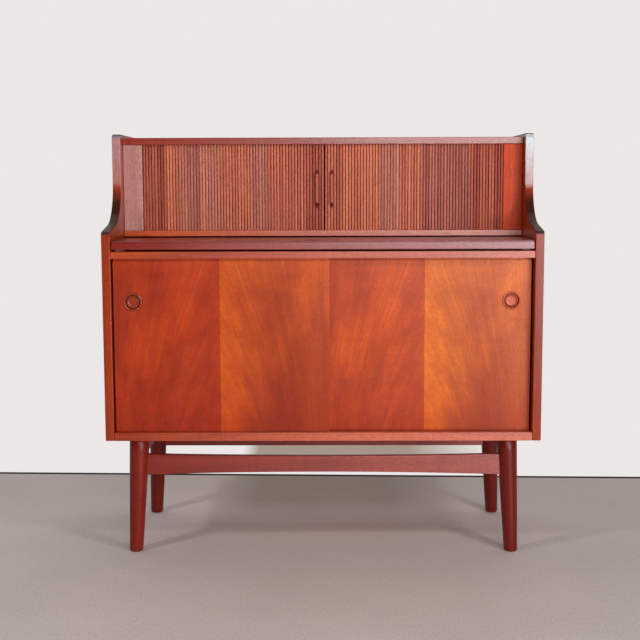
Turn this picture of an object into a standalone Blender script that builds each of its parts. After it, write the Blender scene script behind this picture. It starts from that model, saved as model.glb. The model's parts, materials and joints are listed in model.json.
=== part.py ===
"""Secretary desk: a tambour hutch on a low case with sliding doors and a pull-out writing leaf.

The desk stands on Z = 0, its front looks along -Y and its width runs along X.
Every length is in metres.
"""
import math

import bmesh
import bpy
from mathutils import Matrix

# Driving dimensions
WIDTH = 1.100
DEPTH = 0.445
HEIGHT = 1.072
CASE_BOTTOM = 0.297
SIDE_THICK = 0.022
PANEL_THICK = 0.021
GAP = 0.0003

FRONT = -DEPTH / 2
BACK = DEPTH / 2
INNER = WIDTH / 2 - SIDE_THICK
BOARD_HALF = INNER - GAP

# Back panels sit in rebates of the sides
BACK_THICK = 0.0057
REBATE = 0.007
BOARD_REAR = BACK - BACK_THICK - 2 * GAP
BACK_SPLIT = 0.7903

# Side panel outline: low case, rising step, hollow curve, upright hutch
STEP_CORNER_RADIUS = 0.012
STEP_FRONT_TOP = 0.8250
STEP_SLOPE = math.radians(9.2)
HUTCH_SETBACK = 0.178
HOLLOW_RADIUS = 0.109
TOP_CORNER_RADIUS = 0.0125

# Case boards
BOTTOM_TOP = CASE_BOTTOM + PANEL_THICK
SUPPORT_LOW = 0.7585
SUPPORT_TOP = 0.7758
LEAF_LOW = 0.7806
LEAF_TOP = 0.8016
LEAF_DEPTH = 0.393
LEAF_HALF = INNER - 0.0025
LEAF_TRAVEL = 0.200
BLOCK_LENGTH = 0.030
BLOCK_ROOM = 0.0008

# Hutch boards
HUTCH_LOW = 0.8050
HUTCH_FLOOR = 0.8196
HUTCH_CEILING = 1.0460
HUTCH_TOP = 1.0640
HUTCH_FRONT = FRONT + 0.2135
STILE_FRONT = FRONT + 0.2180
STILE_THICK = 0.0055
STILE_INNER = 0.4777

# Sliding doors run in two tracks, one behind the other
DOOR_WIDTH = 0.541
DOOR_EDGE = 0.524
DOOR_THICK = 0.016
DOOR_LOW = 0.3212
DOOR_TOP = 0.7520
TRACK_PITCH = 0.020
FRONT_TRACK = FRONT + 0.016
TONGUE_THICK = 0.005
GROOVE_WIDTH = 0.0056
LOWER_GROOVE = 0.0060
UPPER_GROOVE = 0.0080
PULL_X = 0.475
PULL_Z = 0.650
PULL_BODY_RADIUS = 0.0202
PULL_BODY_DEPTH = 0.0107

# Tambour of narrow upright slats
SLAT_PITCH = 0.0079
LEAD_SLATS = 4
SLAT_THICK = 0.009
SLAT_RIDGE = 0.0025
TAMBOUR_Y = FRONT + 0.2285
TAMBOUR_TONGUE = 0.0044
TAMBOUR_GROOVE = 0.0050
TAMBOUR_GROOVE_DEPTH = 0.0040
TRACK_SIDE_X = 0.5125
TRACK_REAR_Y = FRONT + 0.4235
TRACK_RADIUS = 0.022
TRACK_REAR_END = 0.160
CURTAIN_OUTER = 0.490
MEETING_X = 0.0044
HANDLE_X = 2.5 * SLAT_PITCH
HANDLE_Z = 0.929
HANDLE_BAR = 0.074
HANDLE_LENGTH = 0.102
HANDLE_WIDTH = 0.0092
HANDLE_THICK = 0.0086

# Leg frame
LEG_TOP_X = 0.4715
LEG_FOOT_X = 0.4840
LEG_TOP_INSET = 0.0525
LEG_FOOT_INSET = 0.0400
LEG_TOP_RADIUS = 0.0260
LEG_FOOT_RADIUS = 0.0172
LEG_HEIGHT = CASE_BOTTOM - GAP
RAIL_THICK = 0.018
FRONT_RAIL_TOP = 0.2545
FRONT_RAIL_LOW = 0.1985
FRONT_RAIL_TOP_DIP = 0.0055
FRONT_RAIL_LOW_RISE = 0.0080
SIDE_RAIL_LOW = 0.2400
TENON_RADIUS = 0.007
FRONT_TENON_Z = 0.2265
SIDE_TENON_Z = 0.2680

# Shelves and pigeonholes
PARTITION_HALF = 0.009
SHELF_TOP = 0.5450
SHELF_THICK = 0.018
PIN_RADIUS = 0.0025
PIN_SUNK = 0.007
PIN_LENGTH = 0.016
PIN_INSETS = (0.100, 0.390)
LINER_X = 0.4975
LINER_THICK = 0.005
DIVIDER_X = 0.165
DIVIDER_THICK = 0.006

# Screws through the side rails
SCREW_INSETS = (0.130, 0.315)
SCREW_HEAD_Z = 0.2500
SCREW_TOP_Z = 0.3100

WOODS = {
    "teak_red": ((0.33, 0.085, 0.035), 0.38),
    "teak_orange": ((0.46, 0.15, 0.05), 0.36),
    "teak_dark": ((0.20, 0.045, 0.022), 0.40),
    "beech": ((0.55, 0.36, 0.20), 0.55),
    "steel": ((0.55, 0.55, 0.56), 0.30),
}


def clear_scene():
    for thing in list(bpy.data.objects):
        bpy.data.objects.remove(thing, do_unlink=True)


def collection(name):
    group = bpy.data.collections.new(name)
    bpy.context.scene.collection.children.link(group)
    return group


def material(name, finish):
    colour, roughness = WOODS[finish]
    made = bpy.data.materials.new(name)
    made.use_nodes = True
    shader = made.node_tree.nodes["Principled BSDF"]
    shader.inputs["Base Color"].default_value = (*colour, 1.0)
    shader.inputs["Roughness"].default_value = roughness
    shader.inputs["Metallic"].default_value = 1.0 if finish == "steel" else 0.0
    made.diffuse_color = (*colour, 1.0)
    return made


def file_under(thing, group):
    for old in list(thing.users_collection):
        old.objects.unlink(thing)
    group.objects.link(thing)


def keep(thing, name, finish):
    """Name a finished piece, give it its material and put it in the desk's collection."""
    thing.name = name
    thing.data.name = name
    thing.data.materials.clear()
    thing.data.materials.append(material(name, finish))
    file_under(thing, DESK)
    return thing


def as_cutter(thing, name):
    thing.name = name
    thing.hide_render = True
    thing.display_type = "WIRE"
    file_under(thing, CUTTERS)
    return thing


def boolean(thing, other, operation):
    step = thing.modifiers.new(other.name, "BOOLEAN")
    step.operation = operation
    step.solver = "EXACT"
    step.object = other
    return thing


def cut(thing, cutter):
    return boolean(thing, cutter, "DIFFERENCE")


def join(thing, added):
    return boolean(thing, added, "UNION")


def block(low, high):
    """A box between two corners."""
    centre = [(a + b) / 2 for a, b in zip(low, high)]
    size = [b - a for a, b in zip(low, high)]
    bpy.ops.mesh.primitive_cube_add(size=1.0, location=centre)
    made = bpy.context.object
    made.scale = size
    bpy.ops.object.transform_apply(location=False, rotation=False, scale=True)
    return made


def rod(radius, start, end, axis, sides=16):
    """A cylinder from start to end along the X, Y or Z axis."""
    centre = [(a + b) / 2 for a, b in zip(start, end)]
    turn = {"X": (0, math.pi / 2, 0), "Y": (math.pi / 2, 0, 0), "Z": (0, 0, 0)}[axis]
    length = math.dist(start, end)
    bpy.ops.mesh.primitive_cylinder_add(
        vertices=sides, radius=radius, depth=length, location=centre, rotation=turn)
    made = bpy.context.object
    made.data.shade_smooth()
    made.data.set_sharp_from_angle(angle=math.radians(40))
    return made


def to_mesh(thing):
    """Replace a curve or a modified object by the plain mesh that it evaluates to."""
    bpy.context.view_layer.update()
    graph = bpy.context.evaluated_depsgraph_get()
    mesh = bpy.data.meshes.new_from_object(thing.evaluated_get(graph))
    work = bmesh.new()
    work.from_mesh(mesh)
    bmesh.ops.remove_doubles(work, verts=work.verts, dist=0.00001)
    work.to_mesh(mesh)
    work.free()
    made = bpy.data.objects.new(thing.name, mesh)
    made.matrix_world = thing.matrix_world.copy()
    bpy.context.scene.collection.objects.link(made)
    bpy.data.objects.remove(thing, do_unlink=True)
    return made


def plate(points, thickness, location, rotation):
    """A flat outline extruded to a thickness about its own plane."""
    curve = bpy.data.curves.new("outline", "CURVE")
    curve.dimensions = "2D"
    curve.fill_mode = "BOTH"
    curve.extrude = thickness / 2
    spline = curve.splines.new("POLY")
    spline.points.add(len(points) - 1)
    for point, (across, up) in zip(spline.points, points):
        point.co = (across, up, 0, 1)
    spline.use_cyclic_u = True
    thing = bpy.data.objects.new("outline", curve)
    thing.location = location
    thing.rotation_euler = rotation
    bpy.context.scene.collection.objects.link(thing)
    return to_mesh(thing)


def section(points, left, right):
    """A section drawn as (y, z) and run along X from left to right."""
    middle = ((left + right) / 2, 0, 0)
    return plate(points, right - left, middle, (math.pi / 2, 0, math.pi / 2))


def plan(points, low, high):
    """An outline drawn as (x, y) and run along Z from low to high."""
    return plate(points, high - low, (0, 0, (low + high) / 2), (0, 0, 0))


def elevation(points, front, rear):
    """An outline drawn as (x, z) and run along Y from front to rear."""
    return plate(points, rear - front, (0, (front + rear) / 2, 0), (math.pi / 2, 0, 0))


def turned(profile, location, rotation, steps=32):
    """A solid turned about its own Z axis, from a profile that runs from its top to its bottom."""
    mesh = bpy.data.meshes.new("profile")
    points = [(radius, 0, height) for radius, height in profile]
    mesh.from_pydata(points, [(i, i + 1) for i in range(len(points) - 1)], [])
    thing = bpy.data.objects.new("turned", mesh)
    bpy.context.scene.collection.objects.link(thing)
    screw = thing.modifiers.new("turn", "SCREW")
    screw.axis = "Z"
    screw.steps = steps
    screw.render_steps = steps
    screw.use_merge_vertices = True
    screw.merge_threshold = 0.00001
    made = to_mesh(thing)
    made.location = location
    made.rotation_euler = rotation
    made.data.shade_smooth()
    made.data.set_sharp_from_angle(angle=math.radians(50))
    return made


def arc(centre, radius, start, end, steps):
    """Points on an arc, its angles in degrees."""
    points = []
    for i in range(steps + 1):
        angle = math.radians(start + (end - start) * i / steps)
        points.append((centre[0] + radius * math.cos(angle), centre[1] + radius * math.sin(angle)))
    return points


def side_outline():
    """The side panel's outline as (y, z), from the lower back corner round the front."""
    slope = math.tan(STEP_SLOPE)
    hutch_y = FRONT + HUTCH_SETBACK
    meet_z = STEP_FRONT_TOP + HUTCH_SETBACK * slope
    curve_top = meet_z + HOLLOW_RADIUS * math.tan(math.radians(45) - STEP_SLOPE / 2)
    hollow = (hutch_y - HOLLOW_RADIUS, curve_top)
    step = STEP_CORNER_RADIUS
    corner = (FRONT + step, STEP_FRONT_TOP + step * slope - step / math.cos(STEP_SLOPE))
    crown = (hutch_y + TOP_CORNER_RADIUS, HEIGHT - TOP_CORNER_RADIUS)
    rise = math.degrees(STEP_SLOPE)
    return ([(BACK, CASE_BOTTOM), (FRONT, CASE_BOTTOM)]
            + arc(corner, step, 180, 90 + rise, 5)
            + arc(hollow, HOLLOW_RADIUS, -90 + rise, 0, 12)
            + arc(crown, TOP_CORNER_RADIUS, 180, 90, 5)
            + [(BACK, HEIGHT)])


def pin_places():
    """Each shelf pin's name, its surface X, the way it points and its inset from the front."""
    places = []
    for side, outward in (("left", -1), ("right", 1)):
        for row, inset in zip(("front", "rear"), PIN_INSETS):
            places.append((f"{side}_shelf_pin_outer_{row}", outward * INNER, -outward, inset))
            places.append((f"{side}_shelf_pin_inner_{row}", outward * PARTITION_HALF, outward, inset))
    return places


PIN_Z = SHELF_TOP - SHELF_THICK - GAP - PIN_RADIUS


def pin_hole(surface, way, inset, name):
    y = FRONT + inset
    start = (surface - way * (PIN_SUNK + GAP), y, PIN_Z)
    end = (surface + way * 0.001, y, PIN_Z)
    return as_cutter(rod(PIN_RADIUS + GAP, start, end, "X", 12), name)


def make_sides():
    for side, outward in (("left", -1), ("right", 1)):
        edges = sorted((outward * INNER, outward * WIDTH / 2))
        panel = section(side_outline(), *edges)
        keep(panel, f"{side}_side", "teak_red")
        deep = sorted((outward * (INNER - 0.001), outward * (INNER + REBATE + GAP)))
        low = (deep[0], BOARD_REAR, CASE_BOTTOM - 0.001)
        high = (deep[1], BACK + 0.001, HUTCH_TOP + GAP)
        cut(panel, as_cutter(block(low, high), f"{side}_rebate_cutter"))
        for name, surface, way, inset in pin_places():
            if name.startswith(side) and "outer" in name:
                cut(panel, pin_hole(surface, way, inset, name + "_hole"))


def door_groove(y, low, high, name):
    corner = (-WIDTH / 2, y - GROOVE_WIDTH / 2, low)
    far = (WIDTH / 2, y + GROOVE_WIDTH / 2, high)
    return as_cutter(block(corner, far), name)


def make_case_boards():
    rear = BOARD_REAR - GAP
    bottom = block((-BOARD_HALF, FRONT + 0.0005, CASE_BOTTOM), (BOARD_HALF, rear, BOTTOM_TOP))
    keep(bottom, "bottom_panel", "teak_orange")
    support = block((-BOARD_HALF, FRONT + 0.0015, SUPPORT_LOW), (BOARD_HALF, rear, SUPPORT_TOP))
    keep(support, "leaf_support_board", "teak_orange")
    for number in range(2):
        y = FRONT_TRACK + number * TRACK_PITCH
        lower = door_groove(y, BOTTOM_TOP - LOWER_GROOVE, BOTTOM_TOP + 0.001, f"lower_groove_{number}")
        cut(bottom, lower)
        upper = door_groove(y, SUPPORT_LOW - 0.001, SUPPORT_LOW + UPPER_GROOVE, f"upper_groove_{number}")
        cut(support, upper)
    for number, (x, y) in enumerate(screw_places()):
        hole = rod(0.0025, (x, y, CASE_BOTTOM - 0.001), (x, y, SCREW_TOP_Z + 0.001), "Z", 12)
        cut(bottom, as_cutter(hole, f"bottom_screw_hole_{number}"))
    partition = block((-PARTITION_HALF, FRONT + 0.052, BOTTOM_TOP + GAP),
                      (PARTITION_HALF, rear, SUPPORT_LOW - GAP))
    keep(partition, "centre_partition", "teak_orange")
    for name, surface, way, inset in pin_places():
        if "inner" in name:
            cut(partition, pin_hole(surface, way, inset, name + "_hole"))


def make_shelves():
    for side, outward in (("left", -1), ("right", 1)):
        edges = sorted((outward * (PARTITION_HALF + 0.001), outward * (INNER - 0.001)))
        shelf = block((edges[0], FRONT + 0.060, SHELF_TOP - SHELF_THICK),
                      (edges[1], FRONT + 0.430, SHELF_TOP))
        keep(shelf, f"{side}_shelf", "teak_orange")
    for name, surface, way, inset in pin_places():
        y = FRONT + inset
        start = (surface - way * PIN_SUNK, y, PIN_Z)
        end = (surface + way * (PIN_LENGTH - PIN_SUNK), y, PIN_Z)
        keep(rod(PIN_RADIUS, start, end, "X", 12), name, "steel")


def make_backs():
    half = INNER + REBATE
    front = BOARD_REAR + GAP
    rear = BACK - GAP
    for name, low, high in (("lower_back_panel", CASE_BOTTOM + GAP, BACK_SPLIT),
                            ("hutch_back_panel", BACK_SPLIT + GAP, HUTCH_TOP)):
        keep(block((-half, front, low), (half, rear, high)), name, "teak_orange")


def track_edge(offset):
    """One edge of the slats' track, from its left rear end round the front to its right rear end."""
    side = TRACK_SIDE_X - TRACK_RADIUS
    rear = TRACK_REAR_Y - TRACK_RADIUS
    front = TAMBOUR_Y + TRACK_RADIUS
    radius = TRACK_RADIUS + offset
    return ([(-TRACK_REAR_END, TRACK_REAR_Y + offset)]
            + arc((-side, rear), radius, 90, 180, 6)
            + arc((-side, front), radius, 180, 270, 6)
            + arc((side, front), radius, 270, 360, 6)
            + arc((side, rear), radius, 0, 90, 6)
            + [(TRACK_REAR_END, TRACK_REAR_Y + offset)])


def track_cutter(low, high, name):
    half = TAMBOUR_GROOVE / 2
    outline = track_edge(half) + track_edge(-half)[::-1]
    return as_cutter(plan(outline, low, high), name)


def make_hutch():
    floor = block((-BOARD_HALF, HUTCH_FRONT, HUTCH_LOW), (BOARD_HALF, BOARD_REAR - GAP, HUTCH_FLOOR))
    keep(floor, "hutch_bottom_board", "teak_orange")
    groove_floor = HUTCH_FLOOR - TAMBOUR_GROOVE_DEPTH
    cut(floor, track_cutter(groove_floor, HUTCH_FLOOR + 0.001, "lower_track_cutter"))
    top = block((-BOARD_HALF, HUTCH_FRONT, HUTCH_CEILING), (BOARD_HALF, BOARD_REAR - GAP, HUTCH_TOP))
    keep(top, "hutch_top_board", "teak_red")
    groove_ceiling = HUTCH_CEILING + TAMBOUR_GROOVE_DEPTH
    cut(top, track_cutter(HUTCH_CEILING - 0.001, groove_ceiling, "upper_track_cutter"))
    low = HUTCH_FLOOR + GAP
    high = HUTCH_CEILING - GAP
    for side, outward in (("left", -1), ("right", 1)):
        edges = sorted((outward * STILE_INNER, outward * BOARD_HALF))
        stile = block((edges[0], STILE_FRONT, low), (edges[1], STILE_FRONT + STILE_THICK, high))
        keep(stile, f"{side}_end_stile", "teak_red")
        edges = sorted((outward * LINER_X, outward * (LINER_X + LINER_THICK)))
        liner = block((edges[0], FRONT + 0.246, low), (edges[1], FRONT + 0.405, high))
        keep(liner, f"{side}_hutch_liner", "teak_orange")
        edges = sorted((outward * DIVIDER_X, outward * (DIVIDER_X + DIVIDER_THICK)))
        divider = block((edges[0], FRONT + 0.252, low), (edges[1], FRONT + 0.3997, high))
        keep(divider, f"{side}_pigeonhole_divider", "beech")
    inner = LINER_X - GAP
    back = block((-inner, FRONT + 0.400, low), (inner, FRONT + 0.405, high))
    keep(back, "inner_back_panel", "teak_orange")
    inner = DIVIDER_X - GAP
    shelf = block((-inner, FRONT + 0.256, 0.927), (inner, FRONT + 0.3997, 0.933))
    keep(shelf, "pigeonhole_shelf", "beech")


def make_leaf():
    front = FRONT + 0.002
    rear = front + LEAF_DEPTH
    outline = ([(rear, LEAF_LOW)]
               + arc((front + 0.002, LEAF_LOW + 0.002), 0.002, 270, 180, 2)
               + arc((front + 0.006, LEAF_TOP - 0.006), 0.006, 180, 90, 4)
               + [(rear, LEAF_TOP)])
    keep(section(outline, -LEAF_HALF, LEAF_HALF), "writing_leaf", "teak_dark")
    stop_front = FRONT + 0.355
    catch_rear = stop_front - LEAF_TRAVEL - GAP
    for side, outward in (("left", -1), ("right", 1)):
        edges = sorted((outward * 0.500, outward * 0.520))
        runner = block((edges[0], FRONT + 0.030, SUPPORT_TOP + GAP),
                       (edges[1], FRONT + 0.430, LEAF_LOW - GAP))
        keep(runner, f"{side}_leaf_runner", "beech")
        edges = sorted((outward * 0.440, outward * 0.480))
        stop = block((edges[0], stop_front, SUPPORT_TOP + BLOCK_ROOM),
                     (edges[1], stop_front + BLOCK_LENGTH, LEAF_LOW - GAP))
        keep(stop, f"{side}_leaf_stop", "beech")
        catch = block((edges[0], catch_rear - BLOCK_LENGTH, SUPPORT_TOP + GAP),
                      (edges[1], catch_rear, LEAF_LOW - BLOCK_ROOM))
        keep(catch, f"{side}_leaf_catch", "beech")


def door_panel(side, track, left, right):
    """A door with a tongue along its top and its bottom edge, for the tracks."""
    door = block((left, track - DOOR_THICK / 2, DOOR_LOW), (right, track + DOOR_THICK / 2, DOOR_TOP))
    keep(door, f"{side}_door", "teak_red")
    foot = BOTTOM_TOP - LOWER_GROOVE + GAP
    head = SUPPORT_LOW + UPPER_GROOVE - 0.001
    tongue = block((left + 0.0005, track - TONGUE_THICK / 2, foot),
                   (right - 0.0005, track + TONGUE_THICK / 2, head))
    return join(door, as_cutter(tongue, f"{side}_door_tongue"))


# The ring pull as (radius, height above the door's face)
PULL_PROFILE = [
    (0.0000, -0.0090), (0.0110, -0.0086), (0.0146, -0.0072), (0.0152, -0.0042), (0.0162, -0.0036),
    (0.0174, -0.0044), (0.0190, -0.0040), (0.0198, -0.0008), (0.0204, 0.0012), (0.0216, 0.0019),
    (0.0229, 0.0014), (0.0235, 0.0003), (0.0202, 0.0003), (0.0202, -0.0107), (0.0000, -0.0107)]


def make_doors():
    for side, outward, track in (("left", -1, FRONT_TRACK), ("right", 1, FRONT_TRACK + TRACK_PITCH)):
        edges = sorted((outward * DOOR_EDGE, outward * (DOOR_EDGE - DOOR_WIDTH)))
        door = door_panel(side, track, *edges)
        face = track - DOOR_THICK / 2
        x = outward * PULL_X
        hole = rod(PULL_BODY_RADIUS + 0.0004, (x, face - 0.002, PULL_Z),
                   (x, face + PULL_BODY_DEPTH + GAP, PULL_Z), "Y", 32)
        cut(door, as_cutter(hole, f"{side}_pull_hole"))
        pull = turned(PULL_PROFILE, (x, face, PULL_Z), (math.pi / 2, 0, 0))
        keep(pull, f"{side}_door_pull", "teak_dark")


def ribbed_plan(start, count, step):
    """Plan of a run of slats with round fronts, count slats from start along step."""
    crown = TAMBOUR_Y - SLAT_THICK / 2
    valley = crown + SLAT_RIDGE
    points = [(start, TAMBOUR_Y + SLAT_THICK / 2)]
    for number in range(count):
        for part in (0.0, 0.25, 0.5, 0.75):
            height = SLAT_RIDGE * math.sin(math.pi * part) ** 0.5
            points.append((start + step * (number + part), valley - height))
    points.append((start + step * count, valley))
    points.append((start + step * count, TAMBOUR_Y + SLAT_THICK / 2))
    return points


def slat_run(name, start, count, step, finish):
    low = HUTCH_FLOOR + GAP
    high = HUTCH_CEILING - GAP
    run = plan(ribbed_plan(start, count, step), low, high)
    keep(run, name, finish)
    inset = math.copysign(0.0001, step)
    edges = sorted((start + inset, start + step * count - inset))
    reach = TAMBOUR_GROOVE_DEPTH - GAP
    tongue = block((edges[0], TAMBOUR_Y - TAMBOUR_TONGUE / 2, HUTCH_FLOOR - reach),
                   (edges[1], TAMBOUR_Y + TAMBOUR_TONGUE / 2, HUTCH_CEILING + reach))
    join(run, as_cutter(tongue, name + "_tongue"))


def handle_outline(x):
    """A slender bar with drawn-out points, as (x, z)."""
    half = HANDLE_WIDTH / 2
    bar = HANDLE_BAR / 2
    tip = HANDLE_LENGTH / 2
    shape = [(half, -bar), (half, bar), (half * 0.55, bar + (tip - bar) * 0.5), (half * 0.12, tip)]
    upper = shape + [(-across, up) for across, up in shape[::-1]]
    lower = [(across, -up) for across, up in shape[2:][::-1]]
    lower = [(-across, up) for across, up in lower[::-1]] + lower
    return [(x + across, HANDLE_Z + up) for across, up in upper + lower]


def make_tambour():
    lead = LEAD_SLATS * SLAT_PITCH
    for side, outward in (("left", -1), ("right", 1)):
        step = outward * SLAT_PITCH
        start = MEETING_X + outward * (lead + GAP)
        count = int((CURTAIN_OUTER - outward * start) / SLAT_PITCH)
        slat_run(f"{side}_tambour_curtain", start, count, step, "teak_red")
        clipped = step * (1 - 2 * GAP / lead)
        slat_run(f"{side}_tambour_lead_slat", MEETING_X + outward * GAP, LEAD_SLATS, clipped, "teak_red")
        front = TAMBOUR_Y - SLAT_THICK / 2 - GAP - HANDLE_THICK
        rear = front + HANDLE_THICK
        handle = elevation(handle_outline(MEETING_X + outward * HANDLE_X), front, rear)
        keep(handle, f"{side}_tambour_handle", "teak_dark")


def leg_solid(extra):
    """A tapered leg, its top at its own origin, with extra added to its radius."""
    top = LEG_TOP_RADIUS + extra
    foot = LEG_FOOT_RADIUS + extra
    slim = foot + (top - foot) * 0.006 / LEG_HEIGHT
    profile = [(0, 0), (top, 0), ((top + slim) / 2, -LEG_HEIGHT / 2), (slim, 0.006 - LEG_HEIGHT),
               (foot - 0.0013, 0.0018 - LEG_HEIGHT), (foot - 0.0045, -LEG_HEIGHT), (0, -LEG_HEIGHT)]
    return turned(profile, (0, 0, 0), (0, 0, 0), 28)


def splay(thing, outward, forward):
    """Lean a leg outwards, keeping its top and its foot level, and stand it in its corner."""
    lean_x = outward * (LEG_FOOT_X - LEG_TOP_X) / LEG_HEIGHT
    lean_y = forward * (LEG_FOOT_INSET - LEG_TOP_INSET) / LEG_HEIGHT
    thing.data.transform(Matrix(((1, 0, -lean_x, 0), (0, 1, -lean_y, 0), (0, 0, 1, 0), (0, 0, 0, 1))))
    y = FRONT + LEG_TOP_INSET if forward > 0 else BACK - LEG_TOP_INSET
    thing.location = (outward * LEG_TOP_X, y, LEG_HEIGHT)
    return thing


def leg_centre(outward, forward, z):
    """The leg's centre at a height: its x and y."""
    down = (LEG_HEIGHT - z) / LEG_HEIGHT
    inset = LEG_TOP_INSET + (LEG_FOOT_INSET - LEG_TOP_INSET) * down
    x = outward * (LEG_TOP_X + (LEG_FOOT_X - LEG_TOP_X) * down)
    return x, (FRONT + inset if forward > 0 else BACK - inset)


CORNERS = (("front_left", -1, 1), ("front_right", 1, 1), ("rear_left", -1, -1), ("rear_right", 1, -1))


def screw_places():
    return [(outward * LEG_TOP_X, FRONT + inset) for outward in (-1, 1) for inset in SCREW_INSETS]


def tenon(centre, z, toward, axis, extra):
    """A round tenon, or its bore, from a rail's shoulder just past the leg's centre."""
    place = "XY".index(axis)
    start = [*centre, z]
    start[place] += toward * 0.045
    end = [*centre, z]
    end[place] -= toward * (0.004 + extra)
    return rod(TENON_RADIUS + extra, start, end, axis, 16)


def make_legs():
    for name, outward, forward in CORNERS:
        leg = splay(leg_solid(0), outward, forward)
        keep(leg, f"{name}_leg", "teak_red")
        bore = tenon(leg_centre(outward, forward, FRONT_TENON_Z), FRONT_TENON_Z, -outward, "X", GAP)
        cut(leg, as_cutter(bore, f"{name}_cross_bore"))
        bore = tenon(leg_centre(outward, forward, SIDE_TENON_Z), SIDE_TENON_Z, forward, "Y", GAP)
        cut(leg, as_cutter(bore, f"{name}_side_bore"))


def cope(rail, name, outward, forward):
    """Hollow a rail's end to the round leg that it meets."""
    cutter = splay(leg_solid(GAP), outward, forward)
    return cut(rail, as_cutter(cutter, name))


def front_rail_outline():
    """Elevation of the front rail, waisted towards its middle."""
    half = leg_centre(1, 1, FRONT_TENON_Z)[0] - 0.002
    top = []
    low = []
    for i in range(17):
        along = -1 + i / 8
        bow = 1 - along * along
        top.append((along * half, FRONT_RAIL_TOP - FRONT_RAIL_TOP_DIP * bow))
        low.append((along * half, FRONT_RAIL_LOW + FRONT_RAIL_LOW_RISE * bow))
    return low + top[::-1]


def make_cross_rails():
    half = leg_centre(1, 1, FRONT_TENON_Z)[0] - 0.002
    straight = [(-half, FRONT_RAIL_LOW), (half, FRONT_RAIL_LOW),
                (half, FRONT_RAIL_TOP), (-half, FRONT_RAIL_TOP)]
    for name, forward, outline in (("front_rail", 1, front_rail_outline()), ("rear_rail", -1, straight)):
        y = leg_centre(1, forward, FRONT_TENON_Z)[1]
        rail = elevation(outline, y - RAIL_THICK / 2, y + RAIL_THICK / 2)
        keep(rail, name, "teak_red")
        for outward in (-1, 1):
            cope(rail, f"{name}_cope_{outward + 1}", outward, forward)
        for outward in (-1, 1):
            peg = tenon(leg_centre(outward, forward, FRONT_TENON_Z), FRONT_TENON_Z, -outward, "X", 0)
            join(rail, as_cutter(peg, f"{name}_tenon_{outward + 1}"))


def make_side_rails():
    for side, outward in (("left", -1), ("right", 1)):
        x, front_y = leg_centre(outward, 1, SIDE_TENON_Z)
        rear_y = leg_centre(outward, -1, SIDE_TENON_Z)[1]
        rail = block((x - RAIL_THICK / 2, front_y + 0.002, SIDE_RAIL_LOW),
                     (x + RAIL_THICK / 2, rear_y - 0.002, CASE_BOTTOM - GAP))
        keep(rail, f"{side}_side_rail", "teak_red")
        for forward in (1, -1):
            cope(rail, f"{side}_side_rail_cope_{forward + 1}", outward, forward)
        for forward in (1, -1):
            peg = tenon(leg_centre(outward, forward, SIDE_TENON_Z), SIDE_TENON_Z, forward, "Y", 0)
            join(rail, as_cutter(peg, f"{side}_side_rail_tenon_{forward + 1}"))
        for number, (hole_x, hole_y) in enumerate(screw_places()):
            if hole_x * outward > 0:
                base = (hole_x, hole_y, SIDE_RAIL_LOW - 0.001)
                shank = rod(0.0025, base, (hole_x, hole_y, CASE_BOTTOM + 0.001), "Z", 12)
                cut(rail, as_cutter(shank, f"rail_shank_hole_{number}"))
                head = rod(0.0050, base, (hole_x, hole_y, SCREW_HEAD_Z + 0.004), "Z", 12)
                cut(rail, as_cutter(head, f"rail_head_hole_{number}"))


def make_screws():
    length = SCREW_TOP_Z - SCREW_HEAD_Z
    profile = [(0, length), (0.0008, length), (0.0020, length - 0.006), (0.0020, 0.0035),
               (0.0042, 0.0035), (0.0042, 0.0012), (0.0030, 0), (0, 0)]
    for number, (x, y) in enumerate(screw_places()):
        screw = turned(profile, (x, y, SCREW_HEAD_Z), (0, 0, 0), 12)
        keep(screw, f"leg_frame_screw_{number + 1}", "steel")


clear_scene()
DESK = collection("secretary_desk")
CUTTERS = collection("cutters")
make_sides()
make_case_boards()
make_shelves()
make_backs()
make_hutch()
make_leaf()
make_doors()
make_tambour()
make_legs()
make_cross_rails()
make_side_rails()
make_screws()
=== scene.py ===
"""Finished look of a teak secretary desk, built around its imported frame.

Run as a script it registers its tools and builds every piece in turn.
"""

import json
import math
import random

import bmesh
import bpy
from mathutils import Matrix, Vector


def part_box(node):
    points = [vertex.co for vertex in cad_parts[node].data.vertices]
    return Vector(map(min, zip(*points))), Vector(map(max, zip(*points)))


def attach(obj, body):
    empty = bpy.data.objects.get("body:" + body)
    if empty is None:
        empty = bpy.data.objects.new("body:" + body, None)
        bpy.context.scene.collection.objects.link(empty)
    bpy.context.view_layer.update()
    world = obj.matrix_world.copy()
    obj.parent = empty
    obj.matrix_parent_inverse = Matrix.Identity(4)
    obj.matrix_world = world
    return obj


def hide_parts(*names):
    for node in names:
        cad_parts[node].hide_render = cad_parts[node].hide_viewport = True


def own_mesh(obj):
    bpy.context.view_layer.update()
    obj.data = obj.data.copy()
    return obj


bl_info = {
    "name": "Secretary desk",
    "version": (1, 0, 0),
    "blender": (4, 5, 0),
    "location": "View3D > Sidebar > Desk",
    "description": "Builds a teak secretary desk with a tambour hutch, sliding doors and a pull-out leaf",
    "category": "Object",
}

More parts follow.
